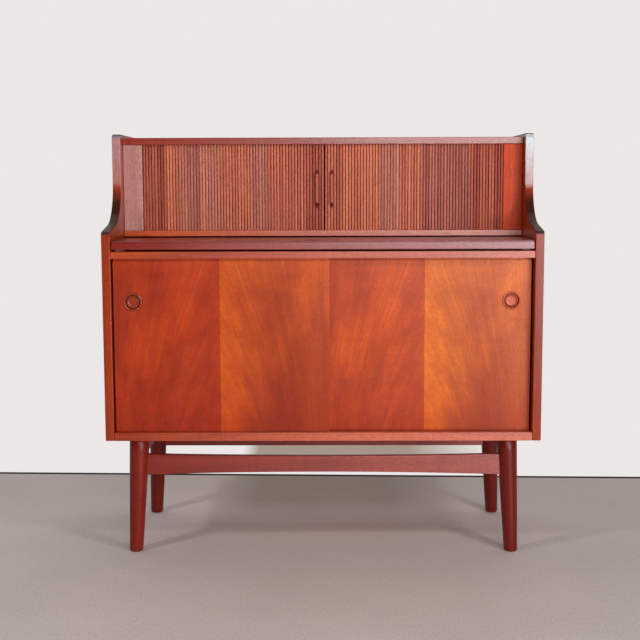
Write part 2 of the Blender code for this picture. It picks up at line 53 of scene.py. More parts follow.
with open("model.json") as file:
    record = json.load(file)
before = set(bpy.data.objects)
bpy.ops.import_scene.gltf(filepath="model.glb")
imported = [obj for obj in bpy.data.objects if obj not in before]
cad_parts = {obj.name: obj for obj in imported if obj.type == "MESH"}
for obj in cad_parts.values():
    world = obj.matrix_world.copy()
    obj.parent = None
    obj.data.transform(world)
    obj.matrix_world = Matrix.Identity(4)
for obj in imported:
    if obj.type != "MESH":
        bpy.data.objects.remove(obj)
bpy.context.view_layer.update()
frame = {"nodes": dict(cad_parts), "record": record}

# Places read from the frame
SIDE_LOW, SIDE_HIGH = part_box("right_side")
LEAF_LOW, LEAF_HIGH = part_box("writing_leaf")
CURTAIN_LOW, CURTAIN_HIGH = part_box("right_tambour_curtain")
FRONT = SIDE_LOW.y
BACK = SIDE_HIGH.y
HEIGHT = SIDE_HIGH.z
CASE_BOTTOM = SIDE_LOW.z
INNER = SIDE_LOW.x
HUTCH_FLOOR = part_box("hutch_bottom_board")[1].z
HUTCH_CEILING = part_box("hutch_top_board")[0].z

SIDES = (("left", -1), ("right", 1))
MILLI = 0.001


def middle_of(node):
    """The middle of a CAD node's box."""
    return [(a + b) / 2 for a, b in zip(*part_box(node))]


# ---------------------------------------------------------------- settings


def size(name, about, default, unit="LENGTH"):
    return bpy.props.FloatProperty(name=name, description=about, default=default, unit=unit)


class DeskSizes(bpy.types.PropertyGroup):
    edge: size("Board edge", "Rounding of the boards' edges", 0.0011)
    side_edge: size("Side edge", "Rounding of the side panels' edges", 0.0022)
    step_corner: size("Step corner", "Radius of the side panels' lower front corner", 0.012)
    top_corner: size("Top corner", "Radius of the side panels' upper front corner", 0.0125)
    hollow: size("Hollow", "Radius of the hollow curve between case and hutch", 0.109)
    step_top: size("Step height", "Height of the case's front edge, where the side panels step back", 0.825)
    step_rise: size("Step rise", "Slope of the side panels' step", math.radians(9.2), "ROTATION")
    setback: size("Hutch setback", "How far the hutch stands behind the case front", 0.178)
    slat: size("Slat pitch", "Distance from one tambour slat to the next", 0.0079)
    slat_gap: size("Slat gap", "Open joint between two slats", 0.0003)
    meeting_gap: size("Meeting gap", "Clearance of each lead slat from the tambours' meeting line", 0.0009)


def tone(name, colour):
    return bpy.props.FloatVectorProperty(
        name=name, description=f"Colour of the {name.lower()}",
        default=colour, size=3, min=0.0, max=1.0, subtype="COLOR")


class DeskTones(bpy.types.PropertyGroup):
    side: tone("Side panels", (0.360, 0.0360, 0.0040))
    lipping: tone("Hutch and bottom boards", (0.500, 0.0600, 0.0050))
    top_board: tone("Top board", (0.300, 0.0200, 0.0040))
    leaf: tone("Writing leaf", (0.285, 0.0120, 0.0030))
    stile: tone("End stiles", (0.540, 0.0490, 0.0040))
    # The left stile's colour under a painted sheen: a lit copy of the end stiles' colour
    bloomed: tone("Bloomed stile", (0.598, 0.2680, 0.2350))
    # Pale colour mixed in as a painted sheen on the upright edges and boards, and as a grey tint on some
    # slats
    bloom: tone("Bloom on the upright edges", (0.560, 0.5900, 0.6300))
    slats: tone("Tambour slats", (0.530, 0.1280, 0.0700))
    pulls: tone("Ring pulls", (0.450, 0.0560, 0.0090))
    handles: tone("Tambour handles", (0.480, 0.1050, 0.0600))
    legs: tone("Legs", (0.215, 0.0110, 0.0030))
    rails: tone("Rails", (0.340, 0.0220, 0.0040))
    inside: tone("Inside boards", (0.450, 0.0900, 0.0250))
    backs: tone("Back panels", (0.350, 0.0700, 0.0250))
    # The bright leaf's lighter, more orange colour is painted chatoyance: both mirrored leaves are one wood,
    # and the brighter one stands for the light its fibres throw back
    quiet_leaf: tone("Quiet veneer leaf", (0.540, 0.0473, 0.0035))
    bright_leaf: tone("Bright veneer leaf", (0.711, 0.1065, 0.0040))
    beech: tone("Beech", (0.480, 0.2800, 0.1300))
    canvas: tone("Canvas", (0.250, 0.1900, 0.1300))
    steel: tone("Steel", (0.560, 0.5500, 0.5300))
    floor: tone("Floor", (0.610, 0.5350, 0.4980))
    wall: tone("Wall", (0.835, 0.8000, 0.7800))


def sizes():
    return bpy.context.scene.desk_sizes


def tones():
    return bpy.context.scene.desk_tones


# ---------------------------------------------------------------- materials


class Tree:
    """A node tree, with short ways to add and join its nodes."""

    def __init__(self, tree):
        self.tree = tree

    def add(self, kind, **settings):
        node = self.tree.nodes.new("ShaderNode" + kind)
        for name, value in settings.items():
            setattr(node, name, value)
        return node

    def feed(self, value, socket):
        if isinstance(value, bpy.types.NodeSocket):
            self.tree.links.new(value, socket)
        else:
            socket.default_value = value

    def fill(self, node, *values):
        """Feed a node's inputs in turn and give back its outputs."""
        for value, socket in zip(values, node.inputs):
            self.feed(value, socket)
        return node.outputs

    def maths(self, operation, *values, clamp=False):
        return self.fill(self.add("Math", operation=operation, use_clamp=clamp), *values)[0]

    def fit(self, value, low, high, to_low=0.0, to_high=1.0):
        return self.fill(self.add("MapRange"), value, low, high, to_low, to_high)[0]

    def split(self, vector):
        return self.fill(self.add("SeparateXYZ"), vector)

    def join(self, *parts):
        return self.fill(self.add("CombineXYZ"), *parts)[0]

    def stretch(self, vector, scale):
        return self.fill(self.add("VectorMath", operation="MULTIPLY"), vector, scale)[0]

    def shift(self, vector, offset):
        return self.fill(self.add("VectorMath", operation="ADD"), vector, offset)[0]

    def length(self, vector):
        return self.fill(self.add("VectorMath", operation="LENGTH"), vector)["Value"]


class Finish(Tree):
    """A material's node tree, drawn round its one shader."""

    def __init__(self, name, roughness):
        self.material = bpy.data.materials.new(name)
        self.material.use_nodes = True
        super().__init__(self.material.node_tree)
        self.shader = self.tree.nodes["Principled BSDF"]
        self.shader.inputs["Roughness"].default_value = roughness

    def give(self, name, value):
        """Feed one of the shader's own inputs."""
        self.feed(value, self.shader.inputs[name])

    def attribute(self, name, output="Fac"):
        return self.add("Attribute", attribute_name=name).outputs[output]

    def noise(self, vector, detail=2.0, roughness=0.5, output="Fac"):
        node = self.add("TexNoise")
        for name, value in (("Vector", vector), ("Scale", 1.0), ("Detail", detail), ("Roughness", roughness)):
            self.feed(value, node.inputs[name])
        return node.outputs[output]

    def ramp(self, value, stops):
        node = self.add("ValToRGB")
        elements = node.color_ramp.elements
        while len(elements) < len(stops):
            elements.new(0.5)
        for element, (place, colour) in zip(elements, stops):
            element.position = place
            element.color = (*colour, 1.0)
        return self.fill(node, value)[0]

    def mix(self, amount, first, second, mode="MIX"):
        node = self.add("Mix", data_type="RGBA", blend_type=mode)
        self.feed(amount, node.inputs[0])
        for value, socket in ((first, node.inputs[6]), (second, node.inputs[7])):
            if isinstance(value, tuple) and len(value) == 3:
                value = (*value, 1.0)
            self.feed(value, socket)
        return node.outputs[2]

    def tint(self, first, second):
        return self.mix(1.0, first, second, "MULTIPLY")

    def bump(self, height, strength, distance):
        node = self.add("Bump")
        for name, value in (("Strength", strength), ("Distance", distance), ("Height", height)):
            self.feed(value, node.inputs[name])
        self.give("Normal", node.outputs[0])

    def lacquer(self, coat, specular=0.5):
        self.give("Coat Weight", coat)
        self.give("Coat Roughness", 0.22)
        self.give("Specular IOR Level", specular)


def shade(colour, change):
    """A colour made lighter and more golden, or darker and redder."""
    red, green, blue = colour
    deeper = max(0.1, 1 + 1.6 * change)
    return (red * (1 + change), green * deeper, blue * deeper)


def shaded_stops(colour, steps, spread=1.0):
    """Ramp stops as (place, colour) from steps as (place, change)."""
    return [(place, shade(colour, spread * step)) for place, step in steps]


def scaled(colour, amount):
    return tuple(part * amount for part in colour)


def warped_grain(finish, vector, amount=0.016):
    """The grain's own coordinates, bent slowly so that its lines aren't ruler straight."""
    slow = finish.noise(finish.stretch(vector, (4.0, 4.0, 1.7)), output="Color")
    centred = finish.shift(slow, (-0.5, -0.5, -0.5))
    return finish.shift(vector, finish.stretch(centred, (amount, amount, 0.0)))


def wood_layers(finish, vector):
    """Bands, lines, pores, clouds, ripple and grit of a plank whose grain runs along the third axis."""
    bent = warped_grain(finish, vector)
    layers = {}
    for name, place, scale, detail, roughness in (
            ("bands", bent, (42.0, 42.0, 1.5), 3.0, 0.55),
            ("lines", bent, (230.0, 230.0, 3.5), 3.0, 0.6),
            ("pores", bent, (900.0, 900.0, 26.0), 2.0, 0.5),
            ("clouds", vector, (6.0, 6.0, 3.0), 2.0, 0.5),
            ("ripple", vector, (16.0, 16.0, 95.0), 2.0, 0.5),
            ("grit", bent, (470.0, 470.0, 120.0), 1.0, 0.5)):
        layers[name] = finish.noise(finish.stretch(place, scale), detail, roughness)
    return layers


def finish_wood(finish, layers, colour):
    """Pores, ripple and lighter edges over a colour, the edges lighter for wear and as a painted highlight on
    the arrises, with the matching roughness and relief.
    """
    pores = finish.fit(layers["pores"], 0.54, 0.72)
    fibre = finish.fit(layers["lines"], 0.30, 0.72)
    lit = finish.tint(colour, finish.fit(layers["ripple"], 0.30, 0.70, 0.95, 1.05))
    grit = finish.mix(finish.fit(layers["grit"], 0.36, 0.64), (0.93, 0.86, 0.80), (1.07, 1.15, 1.22))
    lit = finish.tint(lit, grit)
    pored = finish.mix(finish.maths("MULTIPLY", pores, 0.5), lit, finish.tint(lit, (0.50, 0.38, 0.34)))
    # Lighter rounded edges, partly wear and partly a painted highlight on the arrises
    worn_and_highlit = finish.tint(pored, (1.28, 1.30, 1.30))
    rubbed_and_highlit = finish.maths("MULTIPLY", finish.attribute("edge_wear_and_highlight"),
                          finish.fit(layers["clouds"], 0.40, 0.62, 0.15, 0.9))
    finish.give("Base Color", finish.mix(rubbed_and_highlit, pored, worn_and_highlit))
    base = finish.shader.inputs["Roughness"].default_value
    smudged = finish.fit(layers["clouds"], 0.3, 0.7, base - 0.04, base + 0.05)
    rough = finish.maths("MULTIPLY_ADD", pores, 0.15, smudged)
    finish.give("Roughness", finish.maths("MULTIPLY_ADD", finish.attribute("end_grain_and_shade"), 0.22, rough))
    finish.bump(finish.maths("SUBTRACT", finish.maths("MULTIPLY", fibre, 0.35), pores), 0.10, 0.0003)


# Colours of the end grain; the red one is also the colour of the painted shade in the slats' and handles'
# flanks and the pulls' grooves
BROWN_END = (0.034, 0.009, 0.006)
RED_END_GRAIN_AND_SHADE = (0.085, 0.006, 0.002)
PLANK_STEPS = ((0.0, -1.0), (0.36, -0.3), (0.68, 0.35), (1.0, 1.0))


def plank_wood(name, colour, spread=0.30, roughness=0.34, coat=0.35, specular=0.5, end=BROWN_END):
    """Lacquered straight-grained wood round one colour, its light streaks more golden."""
    finish = Finish(name, roughness)
    layers = wood_layers(finish, finish.attribute("grain", "Vector"))
    mixed = finish.maths("MULTIPLY", layers["bands"], 0.46)
    mixed = finish.maths("MULTIPLY_ADD", layers["lines"], 0.30, mixed)
    mixed = finish.maths("MULTIPLY_ADD", layers["clouds"], 0.24, mixed)
    value = finish.maths("ADD", finish.fit(mixed, 0.34, 0.66), finish.attribute("tone"))
    wood = finish.ramp(value, shaded_stops(colour, PLANK_STEPS, spread))
    # Where marked, the colour turns towards the end colour, for stained end grain and for painted shade in
    # grooves and flanks, and towards the pale colour, for a painted sheen and a grey tint
    wood = finish.mix(finish.attribute("end_grain_and_shade"), wood, end)
    wood = finish.mix(finish.attribute("bloom"), wood, tuple(tones().bloom))
    finish_wood(finish, layers, wood)
    finish.lacquer(coat, specular)
    return finish.material


# Lighter and darker clouds in the doors' veneer: across from the seam, down the door, reach, amount
VENEER_BLOTCHES = (
    (-0.110, 0.20, 0.036, 0.22, 1.6), (-0.205, 0.54, 0.040, 0.11, 1.5), (-0.250, 0.20, 0.045, 0.28, -1.4),
    (-0.105, 0.62, 0.035, 0.14, -0.5), (0.125, 0.03, 0.045, 0.12, 1.2), (0.180, 0.82, 0.070, 0.34, -1.3),
    (0.145, 0.42, 0.035, 0.12, -0.7), (0.010, 0.72, 0.030, 0.36, 0.7), (0.090, 1.00, 0.100, 0.12, -0.8),
    (0.240, 0.85, 0.060, 0.44, -2.1), (-0.240, 0.80, 0.060, 0.30, -0.5), (0.240, 0.40, 0.030, 0.20, -0.6),
    (-0.150, 0.12, 0.045, 0.16, -0.7), (-0.250, 0.52, 0.035, 0.12, -0.7), (0.150, 0.55, 0.045, 0.12, 0.7),
    (0.020, 0.95, 0.035, 0.16, 0.5),
)


# Bands of colour across each veneer leaf, as the place along the figure and the change of shade
QUIET_BANDS = ((0.0, -0.06), (0.25, 0.0), (0.40, 0.05), (0.52, -0.05), (0.66, -0.02), (0.80, 0.04),
               (0.92, 0.08), (1.0, 0.0))
BRIGHT_BANDS = ((0.0, 0.0), (0.27, 0.03), (0.33, -0.12), (0.46, -0.17), (0.60, -0.26), (0.74, -0.20),
                (0.86, -0.02), (1.0, -0.10))


def veneer_figure(finish, place, away, down, quiet, bright):
    """Both leaves' broad bands of colour, which arch over the seam and straighten away from it."""
    fade = finish.maths("POWER", math.e, finish.maths("MULTIPLY", away, -1 / 0.115))
    arch = finish.maths("MULTIPLY", finish.maths("SQRT", finish.maths("ADD", down, 0.06)), 0.105)
    figure = finish.maths("SUBTRACT", away, finish.maths("MULTIPLY", arch, fade))
    wander = finish.maths("SUBTRACT", finish.noise(finish.stretch(place, (11.0, 1.0, 6.0))), 0.5)
    drift = finish.maths("MULTIPLY", wander, finish.fit(away, 0.0, 0.12, 0.02, 0.09))
    along = finish.fit(finish.maths("ADD", drift, figure), -0.105, 0.270)
    return (finish.ramp(along, shaded_stops(quiet, QUIET_BANDS)),
            finish.ramp(along, shaded_stops(bright, BRIGHT_BANDS)))


def veneer_streaks(finish, layers, place, body):
    """Fine streaks and scattered dark hairs over the broad bands."""
    stripes = finish.maths("MULTIPLY", layers["bands"], 0.45)
    stripes = finish.maths("MULTIPLY_ADD", layers["lines"], 0.55, stripes)
    streaks = finish.mix(finish.fit(stripes, 0.34, 0.66), (0.86, 0.72, 0.66), (1.07, 1.13, 1.07))
    colour = finish.tint(body, streaks)
    hairs = finish.fit(finish.noise(finish.stretch(place, (190.0, 1.0, 1.4)), 1.0), 0.60, 0.70)
    strength = finish.fit(layers["clouds"], 0.40, 0.62, 0.15, 0.80)
    amount = finish.maths("MULTIPLY", hairs, strength)
    return finish.mix(amount, colour, finish.tint(colour, (0.74, 0.60, 0.58)))


def veneer_clouds(finish, place, across, down, colour):
    """Soft patches over the veneer, both scattered ones and those in the list."""
    patches = finish.noise(finish.stretch(place, (17.0, 1.0, 12.0)), 3.0)
    clouds = finish.fit(patches, 0.25, 0.75, -1.0, 1.0)
    spot = finish.join(across, down)
    for side, height, wide, tall, amount in VENEER_BLOTCHES:
        moved = finish.shift(spot, (-side, -height, 0.0))
        reach = finish.length(finish.stretch(moved, (1 / wide, 1 / tall, 1.0)))
        clouds = finish.maths("ADD", clouds, finish.fit(reach, 0.15, 1.5, amount, 0.0))
    warm = finish.tint(colour, (1.20, 1.42, 1.10))
    deep = finish.tint(colour, (0.80, 0.68, 0.72))
    darkened = finish.mix(finish.maths("MULTIPLY", clouds, -1.0, clamp=True), colour, deep)
    return finish.mix(finish.maths("MULTIPLY", clouds, 1.0, clamp=True), darkened, warm)


def matched_veneer(name, quiet, bright, roughness=0.36):
    """Two book-matched leaves that meet at the door's middle, their grain fanning down from the seam."""
    finish = Finish(name, roughness)
    across, _, up = finish.split(finish.attribute("grain", "Vector"))
    away = finish.maths("ABSOLUTE", across)
    right_leaf = finish.maths("GREATER_THAN", across, 0.0)
    down = finish.fit(up, 0.215, -0.215)
    reach = finish.fit(away, 0.0, 0.28, 0.303, 0.0)
    opening = finish.maths("MULTIPLY", finish.maths("POWER", down, 1.25), reach)
    fan = finish.maths("SUBTRACT", away, opening)
    place = finish.join(fan, 0.0, finish.maths("MULTIPLY_ADD", right_leaf, 0.003, up))
    layers = wood_layers(finish, place)
    # Painted chatoyance: the leaf right of the seam takes the brighter bands, standing for the light its
    # mirrored fibres throw back
    body = finish.mix(right_leaf, *veneer_figure(finish, place, away, down, quiet, bright))
    colour = veneer_streaks(finish, layers, place, body)
    colour = veneer_clouds(finish, place, across, down, colour)
    # Painted shade: the veneer darker and redder towards the door's foot, where it reflects less light
    colour = finish.mix(finish.fit(down, 0.50, 1.0), colour, finish.tint(colour, (0.86, 0.62, 0.56)))
    # The right door gets a lighter, more golden tint than the left
    door_tint = finish.mix(finish.attribute("tone"), (0.86, 0.80, 0.72), (1.02, 1.33, 1.12))
    finish_wood(finish, layers, finish.tint(colour, door_tint))
    finish.lacquer(0.0, 0.38)
    return finish.material


def woven_canvas(name, colour):
    finish = Finish(name, 0.9)
    place = finish.stretch(finish.attribute("grain", "Vector"), (900.0, 900.0, 900.0))
    waves = []
    for direction in ("X", "Z"):
        wave = finish.add("TexWave", bands_direction=direction)
        waves.append(finish.fill(wave, place, 1.0)["Fac"])
    weave = finish.maths("MULTIPLY", *waves)
    finish.give("Base Color", finish.mix(weave, colour, scaled(colour, 1.5)))
    finish.bump(weave, 0.3, 0.0003)
    return finish.material


def brushed_steel(name, colour):
    finish = Finish(name, 0.3)
    place = finish.add("TexCoord").outputs["Object"]
    scratch = finish.noise(finish.stretch(place, (900.0, 900.0, 4000.0)), 3.0, 0.6)
    finish.give("Base Color", finish.mix(scratch, scaled(colour, 0.72), colour))
    finish.give("Roughness", finish.fit(scratch, 0.3, 0.7, 0.22, 0.42))
    finish.give("Metallic", 1.0)
    finish.bump(scratch, 0.1, 0.0002)
    return finish.material


MATERIALS = {}


def make_materials():
    """Every finish of the desk, by name; most are the record's slots."""
    t = tones()
    # name, colour, spread of the streaks, roughness, coat, specular level, colour of the end grain and of the
    # painted shade in grooves and flanks
    woods = (
        ("side_teak", t.side, 0.25, 0.28, 0.10, 0.40, BROWN_END),
        ("dry_end_grain", t.side, 0.25, 0.60, 0.0, 0.12, BROWN_END),
        ("board_teak", t.lipping, 0.34, 0.36, 0.15, 0.50, BROWN_END),
        ("top_teak", t.top_board, 0.28, 0.34, 0.35, 0.50, BROWN_END),
        ("leaf_teak", t.leaf, 0.30, 0.32, 0.25, 0.50, BROWN_END),
        ("stile_teak", t.stile, 0.18, 0.40, 0.0, 0.15, BROWN_END),
        ("bloomed_teak", t.bloomed, 0.16, 0.40, 0.35, 0.50, BROWN_END),
        ("tambour_slats", t.slats, 0.36, 0.42, 0.0, 0.25, RED_END_GRAIN_AND_SHADE),
        ("turned_teak", t.pulls, 0.22, 0.30, 0.20, 0.50, RED_END_GRAIN_AND_SHADE),
        ("handle_teak", t.handles, 0.20, 0.38, 0.0, 0.40, RED_END_GRAIN_AND_SHADE),
        ("leg_teak", t.legs, 0.30, 0.34, 0.0, 0.35, BROWN_END),
        ("leg_frame_teak", t.rails, 0.28, 0.36, 0.30, 0.55, BROWN_END),
        ("dull_frame_teak", t.rails, 0.28, 0.55, 0.0, 0.25, BROWN_END),
        ("inside_teak", t.inside, 0.30, 0.50, 0.10, 0.50, BROWN_END),
        ("back_veneer", t.backs, 0.35, 0.60, 0.0, 0.40, BROWN_END),
        ("beech_inside", t.beech, 0.18, 0.50, 0.10, 0.50, BROWN_END),
        ("beech_blocks", t.beech, 0.18, 0.60, 0.0, 0.50, BROWN_END),
    )
    for name, colour, *rest in woods:
        MATERIALS[name] = plank_wood(name, tuple(colour), *rest)
    MATERIALS["canvas"] = woven_canvas("canvas", tuple(t.canvas))
    MATERIALS["steel_fittings"] = brushed_steel("steel_fittings", tuple(t.steel))
    MATERIALS["door_veneer"] = matched_veneer("door_veneer", tuple(t.quiet_leaf), tuple(t.bright_leaf))


# ---------------------------------------------------------------- pieces


def to_mesh(work, name):
    mesh = bpy.data.meshes.new(name)
    work.normal_update()
    work.to_mesh(mesh)
    work.free()
    return mesh


def edge_wear_and_highlight_layer(work):
    return work.faces.layers.float.get("edge_wear_and_highlight") or work.faces.layers.float.new("edge_wear_and_highlight")


def soften(work, edges, width):
    """Round edges and mark the new faces as worn and as painted highlights on the arrises."""
    layer = edge_wear_and_highlight_layer(work)
    made = bmesh.ops.bevel(work, geom=edges, offset=width, segments=3, profile=0.5,
                           affect="EDGES", clamp_overlap=True)
    for face in made["faces"]:
        face[layer] = 1.0


def block(low, high, edge=0.0):
    """A box between two corners with rounded edges."""
    work = bmesh.new()
    bmesh.ops.create_cube(work, size=1.0)
    middle = [(a + b) / 2 for a, b in zip(low, high)]
    size = [b - a for a, b in zip(low, high)]
    matrix = Matrix.Translation(middle) @ Matrix.Diagonal((*size, 1.0))
    bmesh.ops.transform(work, matrix=matrix, verts=work.verts)
    edge_wear_and_highlight_layer(work)
    if edge:
        soften(work, work.edges[:], edge)
    return work


def prism(points, start, end, axis, edge=0.0):
    """An outline run along an axis, its crisp edges rounded."""

    def order(a, b, along):
        return {"X": (along, a, b), "Y": (a, along, b), "Z": (a, b, along)}[axis]

    work = bmesh.new()
    face = work.faces.new([work.verts.new(order(a, b, start)) for a, b in points])
    grown = bmesh.ops.extrude_face_region(work, geom=[face])
    moved = [item for item in grown["geom"] if isinstance(item, bmesh.types.BMVert)]
    bmesh.ops.translate(work, verts=moved, vec=order(0.0, 0.0, end - start))
    bmesh.ops.recalc_face_normals(work, faces=work.faces)
    edge_wear_and_highlight_layer(work)
    if edge:
        crisp = [item for item in work.edges if item.calc_face_angle(0.0) > 1.0]
        soften(work, crisp, edge)
    return work


def rod(radius, start, end, sides=24):
    """A round cutter from start to end."""
    work = bmesh.new()
    way = Vector(end) - Vector(start)
    bmesh.ops.create_cone(work, cap_ends=True, segments=sides, radius1=radius, radius2=radius,
                          depth=way.length)
    turn = way.to_track_quat("Z", "Y").to_matrix().to_4x4()
    matrix = Matrix.Translation((Vector(start) + Vector(end)) / 2) @ turn
    bmesh.ops.transform(work, matrix=matrix, verts=work.verts)
    return work


def turned(profile, steps=72):
    """A solid turned about Z, its profile given as (radius, height) from top to bottom."""
    work = bmesh.new()
    line = [work.verts.new((radius, 0.0, height)) for radius, height in profile]
    edges = [work.edges.new(pair) for pair in zip(line, line[1:])]
    bmesh.ops.spin(work, geom=line + edges, cent=(0, 0, 0), axis=(0, 0, 1), angle=math.tau, steps=steps,
                   use_merge=True)
    bmesh.ops.remove_doubles(work, verts=work.verts, dist=0.000001)
    bmesh.ops.recalc_face_normals(work, faces=work.faces)
    edge_wear_and_highlight_layer(work)
    return work


def skin(work, rings):
    """Walls between neighbouring rings of points, closed at both ends."""
    count = len(rings[0])
    for lower, upper in zip(rings, rings[1:]):
        for i in range(count):
            k = (i + 1) % count
            work.faces.new((lower[i], lower[k], upper[k], upper[i]))
    work.faces.new(rings[0][::-1])
    work.faces.new(rings[-1])


def arc(centre, radius, start, end, steps):
    """Points round part of a circle, its angles in degrees."""
    points = []
    for i in range(steps + 1):
        angle = math.radians(start + (end - start) * i / steps)
        points.append((centre[0] + radius * math.cos(angle), centre[1] + radius * math.sin(angle)))
    return points


def carve(piece, work, operation="DIFFERENCE"):
    """Cut a shape out of a piece, or join it on, and keep the result as the piece's own shape."""
    tool = bpy.data.objects.new("tool", to_mesh(work, "tool"))
    bpy.context.scene.collection.objects.link(tool)
    step = piece.modifiers.new("carve", "BOOLEAN")
    step.operation = operation
    step.solver = "EXACT"
    step.object = tool
    bpy.context.view_layer.update()
    graph = bpy.context.evaluated_depsgraph_get()
    mesh = bpy.data.meshes.new_from_object(piece.evaluated_get(graph))
    piece.modifiers.clear()
    piece.data = mesh
    bpy.data.objects.remove(tool, do_unlink=True)


GRAIN_ORDER = {"X": (1, 2, 0), "Y": (0, 2, 1), "Z": (0, 1, 2)}


def lay_grain(piece, along, seed, origin=(0.0, 0.0, 0.0), shades=(0.0, 0.0), grey_tints_and_sheens=(0.0, 0.0)):
    """Store each point's place in its plank; its shade and its grey tint and painted sheen run from the left
    end's to the right's.
    """
    mesh = piece.data
    order = GRAIN_ORDER[along]
    offset = (seed * 3.71, seed * 1.93, seed * 5.37)
    values = []
    for vertex in mesh.vertices:
        place = [vertex.co[i] - origin[i] for i in range(3)]
        values.extend(place[axis] + offset[k] for k, axis in enumerate(order))
    layer = mesh.attributes.get("grain") or mesh.attributes.new("grain", "FLOAT_VECTOR", "POINT")
    layer.data.foreach_set("vector", values)
    lowest = min(vertex.co.x for vertex in mesh.vertices)
    width = max(vertex.co.x for vertex in mesh.vertices) - lowest
    shares = [(vertex.co.x - lowest) / width for vertex in mesh.vertices]
    for name, (start, end) in (("tone", shades), ("bloom", grey_tints_and_sheens)):
        if not mesh.attributes.get(name):
            levels = [start + (end - start) * share for share in shares]
            mesh.attributes.new(name, "FLOAT", "POINT").data.foreach_set("value", levels)


def shade_round(piece, angle):
    """Smooth shading that keeps the edges sharper than an angle in degrees."""
    piece.data.shade_smooth()
    piece.data.set_sharp_from_angle(angle=math.radians(angle))


def smooth(piece):
    """Smooth shading that leaves a board's broad faces flat."""
    shade_round(piece, 35.0)
    weighted = piece.modifiers.new("weighted", "WEIGHTED_NORMAL")
    weighted.keep_sharp = True


def piece_from(work, name, body, slot, nodes=()):
    """A finished piece: named, riding on its body, standing for its CAD nodes."""
    piece = bpy.data.objects.new(name, to_mesh(work, name))
    bpy.context.scene.collection.objects.link(piece)
    piece.data.materials.append(MATERIALS[slot])
    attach(piece, body)
    if nodes:
        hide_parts(*nodes)
    return piece


def slot_of(node):
    for entry in frame["record"]["subparts"]:
        if entry["node"] == node:
            return entry["material_slot"]
    raise ValueError(f"no slot for {node}")


def board(node, along, seed, edge=None, finish=None, body="case", shades=(0.0, 0.0), grey_tints_and_sheens=(0.0, 0.0)):
    """A board in the place of a CAD node, with softened edges and its grain laid."""
    low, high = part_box(node)
    width = sizes().edge if edge is None else edge
    piece = piece_from(block(low, high, width), node + "_board", body, finish or slot_of(node), [node])
    lay_grain(piece, along, seed, shades=shades, grey_tints_and_sheens=grey_tints_and_sheens)
    return piece


# ---------------------------------------------------------------- side panels


def side_outline():
    """The side panel as (y, z), from the lower back corner round the front to the top."""
    s = sizes()
    rise = s.step_rise
    slope = math.tan(rise)
    hutch_y = FRONT + s.setback
    meet_z = s.step_top + s.setback * slope
    curve_top = meet_z + s.hollow * math.tan(math.radians(45) - rise / 2)
    corner = (FRONT + s.step_corner, s.step_top + s.step_corner * slope - s.step_corner / math.cos(rise))
    crown = (hutch_y + s.top_corner, HEIGHT - s.top_corner)
    degrees = math.degrees(rise)
    return ([(BACK, CASE_BOTTOM), (FRONT, CASE_BOTTOM)]
            + arc(corner, s.step_corner, 180, 90 + degrees, 9)
            + arc((hutch_y - s.hollow, curve_top), s.hollow, -90 + degrees, 0, 36)
            + arc(crown, s.top_corner, 180, 90, 9)
            + [(BACK, HEIGHT)])


# Heights on the side panels where the stained end grain, the dry end grain and the painted sheen begin
STAIN_FOOT = 0.8155
HOLLOW_FOOT = 0.868
SHEEN_FOOT = 0.935
SHEEN_FADE = 0.028
SHEEN_HEIGHT = 0.130
# Painted sheen at the crown and at the hutch edge's foot, the shade of the case edge, darker towards its top,
# and a lighter painted tone up the hutch edge that goes with its painted sheen
EDGE_SHEENS_AND_SHADES = {"left": (0.35, 0.55, -0.10, 0.90), "right": (0.98, 0.90, -1.10, 0.0)}


def dry_end_grain(piece):
    """Give the hollow and the crown of a side panel the dull finish of stained end grain."""
    piece.data.materials.append(MATERIALS["dry_end_grain"])
    for face in piece.data.polygons:
        if face.normal.z > 0.14 and face.center.z > HOLLOW_FOOT and face.center.y < BACK - 0.01:
            face.material_index = 1


def stain_end_grain_and_paint_sheen(mesh, bloom, foot_sheen, shade_up, hutch_sheen_lift):
    """Mark a side panel's darker end grain, a painted sheen and a lighter painted tone up its hutch edge, and
    the shade of its case edge, darker towards the top.
    """
    s = sizes()
    end_grain_and_shade_marks = []
    grey_tints_and_sheens = []
    levels = []
    for vertex in mesh.vertices:
        y, z = vertex.co.y, vertex.co.z
        facing_up = min(1.0, max(0.0, (vertex.normal.z - 0.06) / 0.40))
        end_grain_and_shade_marks.append(0.95 * facing_up if z > STAIN_FOOT and y < BACK - 0.02 else 0.0)
        # Painted sheen: a pale colour mixed into the front of the hutch edge, rising above its foot, for the
        # light it reflects
        rise = min(1.0, max(0.0, (z - SHEEN_FOOT) / SHEEN_FADE))
        share = min(1.0, max(0.0, (HEIGHT - z) / SHEEN_HEIGHT))
        on_front = vertex.normal.y < -0.3 and y < FRONT + s.setback + 0.006
        grey_tints_and_sheens.append(rise * (bloom + (foot_sheen - bloom) * share) if on_front else 0.0)
        height = min(1.0, (z - CASE_BOTTOM) / 0.5)
        # The case edge darker towards its top; the hutch edge's lighter tone goes with its painted sheen
        levels.append(shade_up * height if y < FRONT + 0.03 else hutch_sheen_lift * rise if on_front else 0.0)
    for name, values in (("end_grain_and_shade", end_grain_and_shade_marks), ("bloom", grey_tints_and_sheens), ("tone", levels)):
        mesh.attributes.new(name, "FLOAT", "POINT").data.foreach_set("value", values)


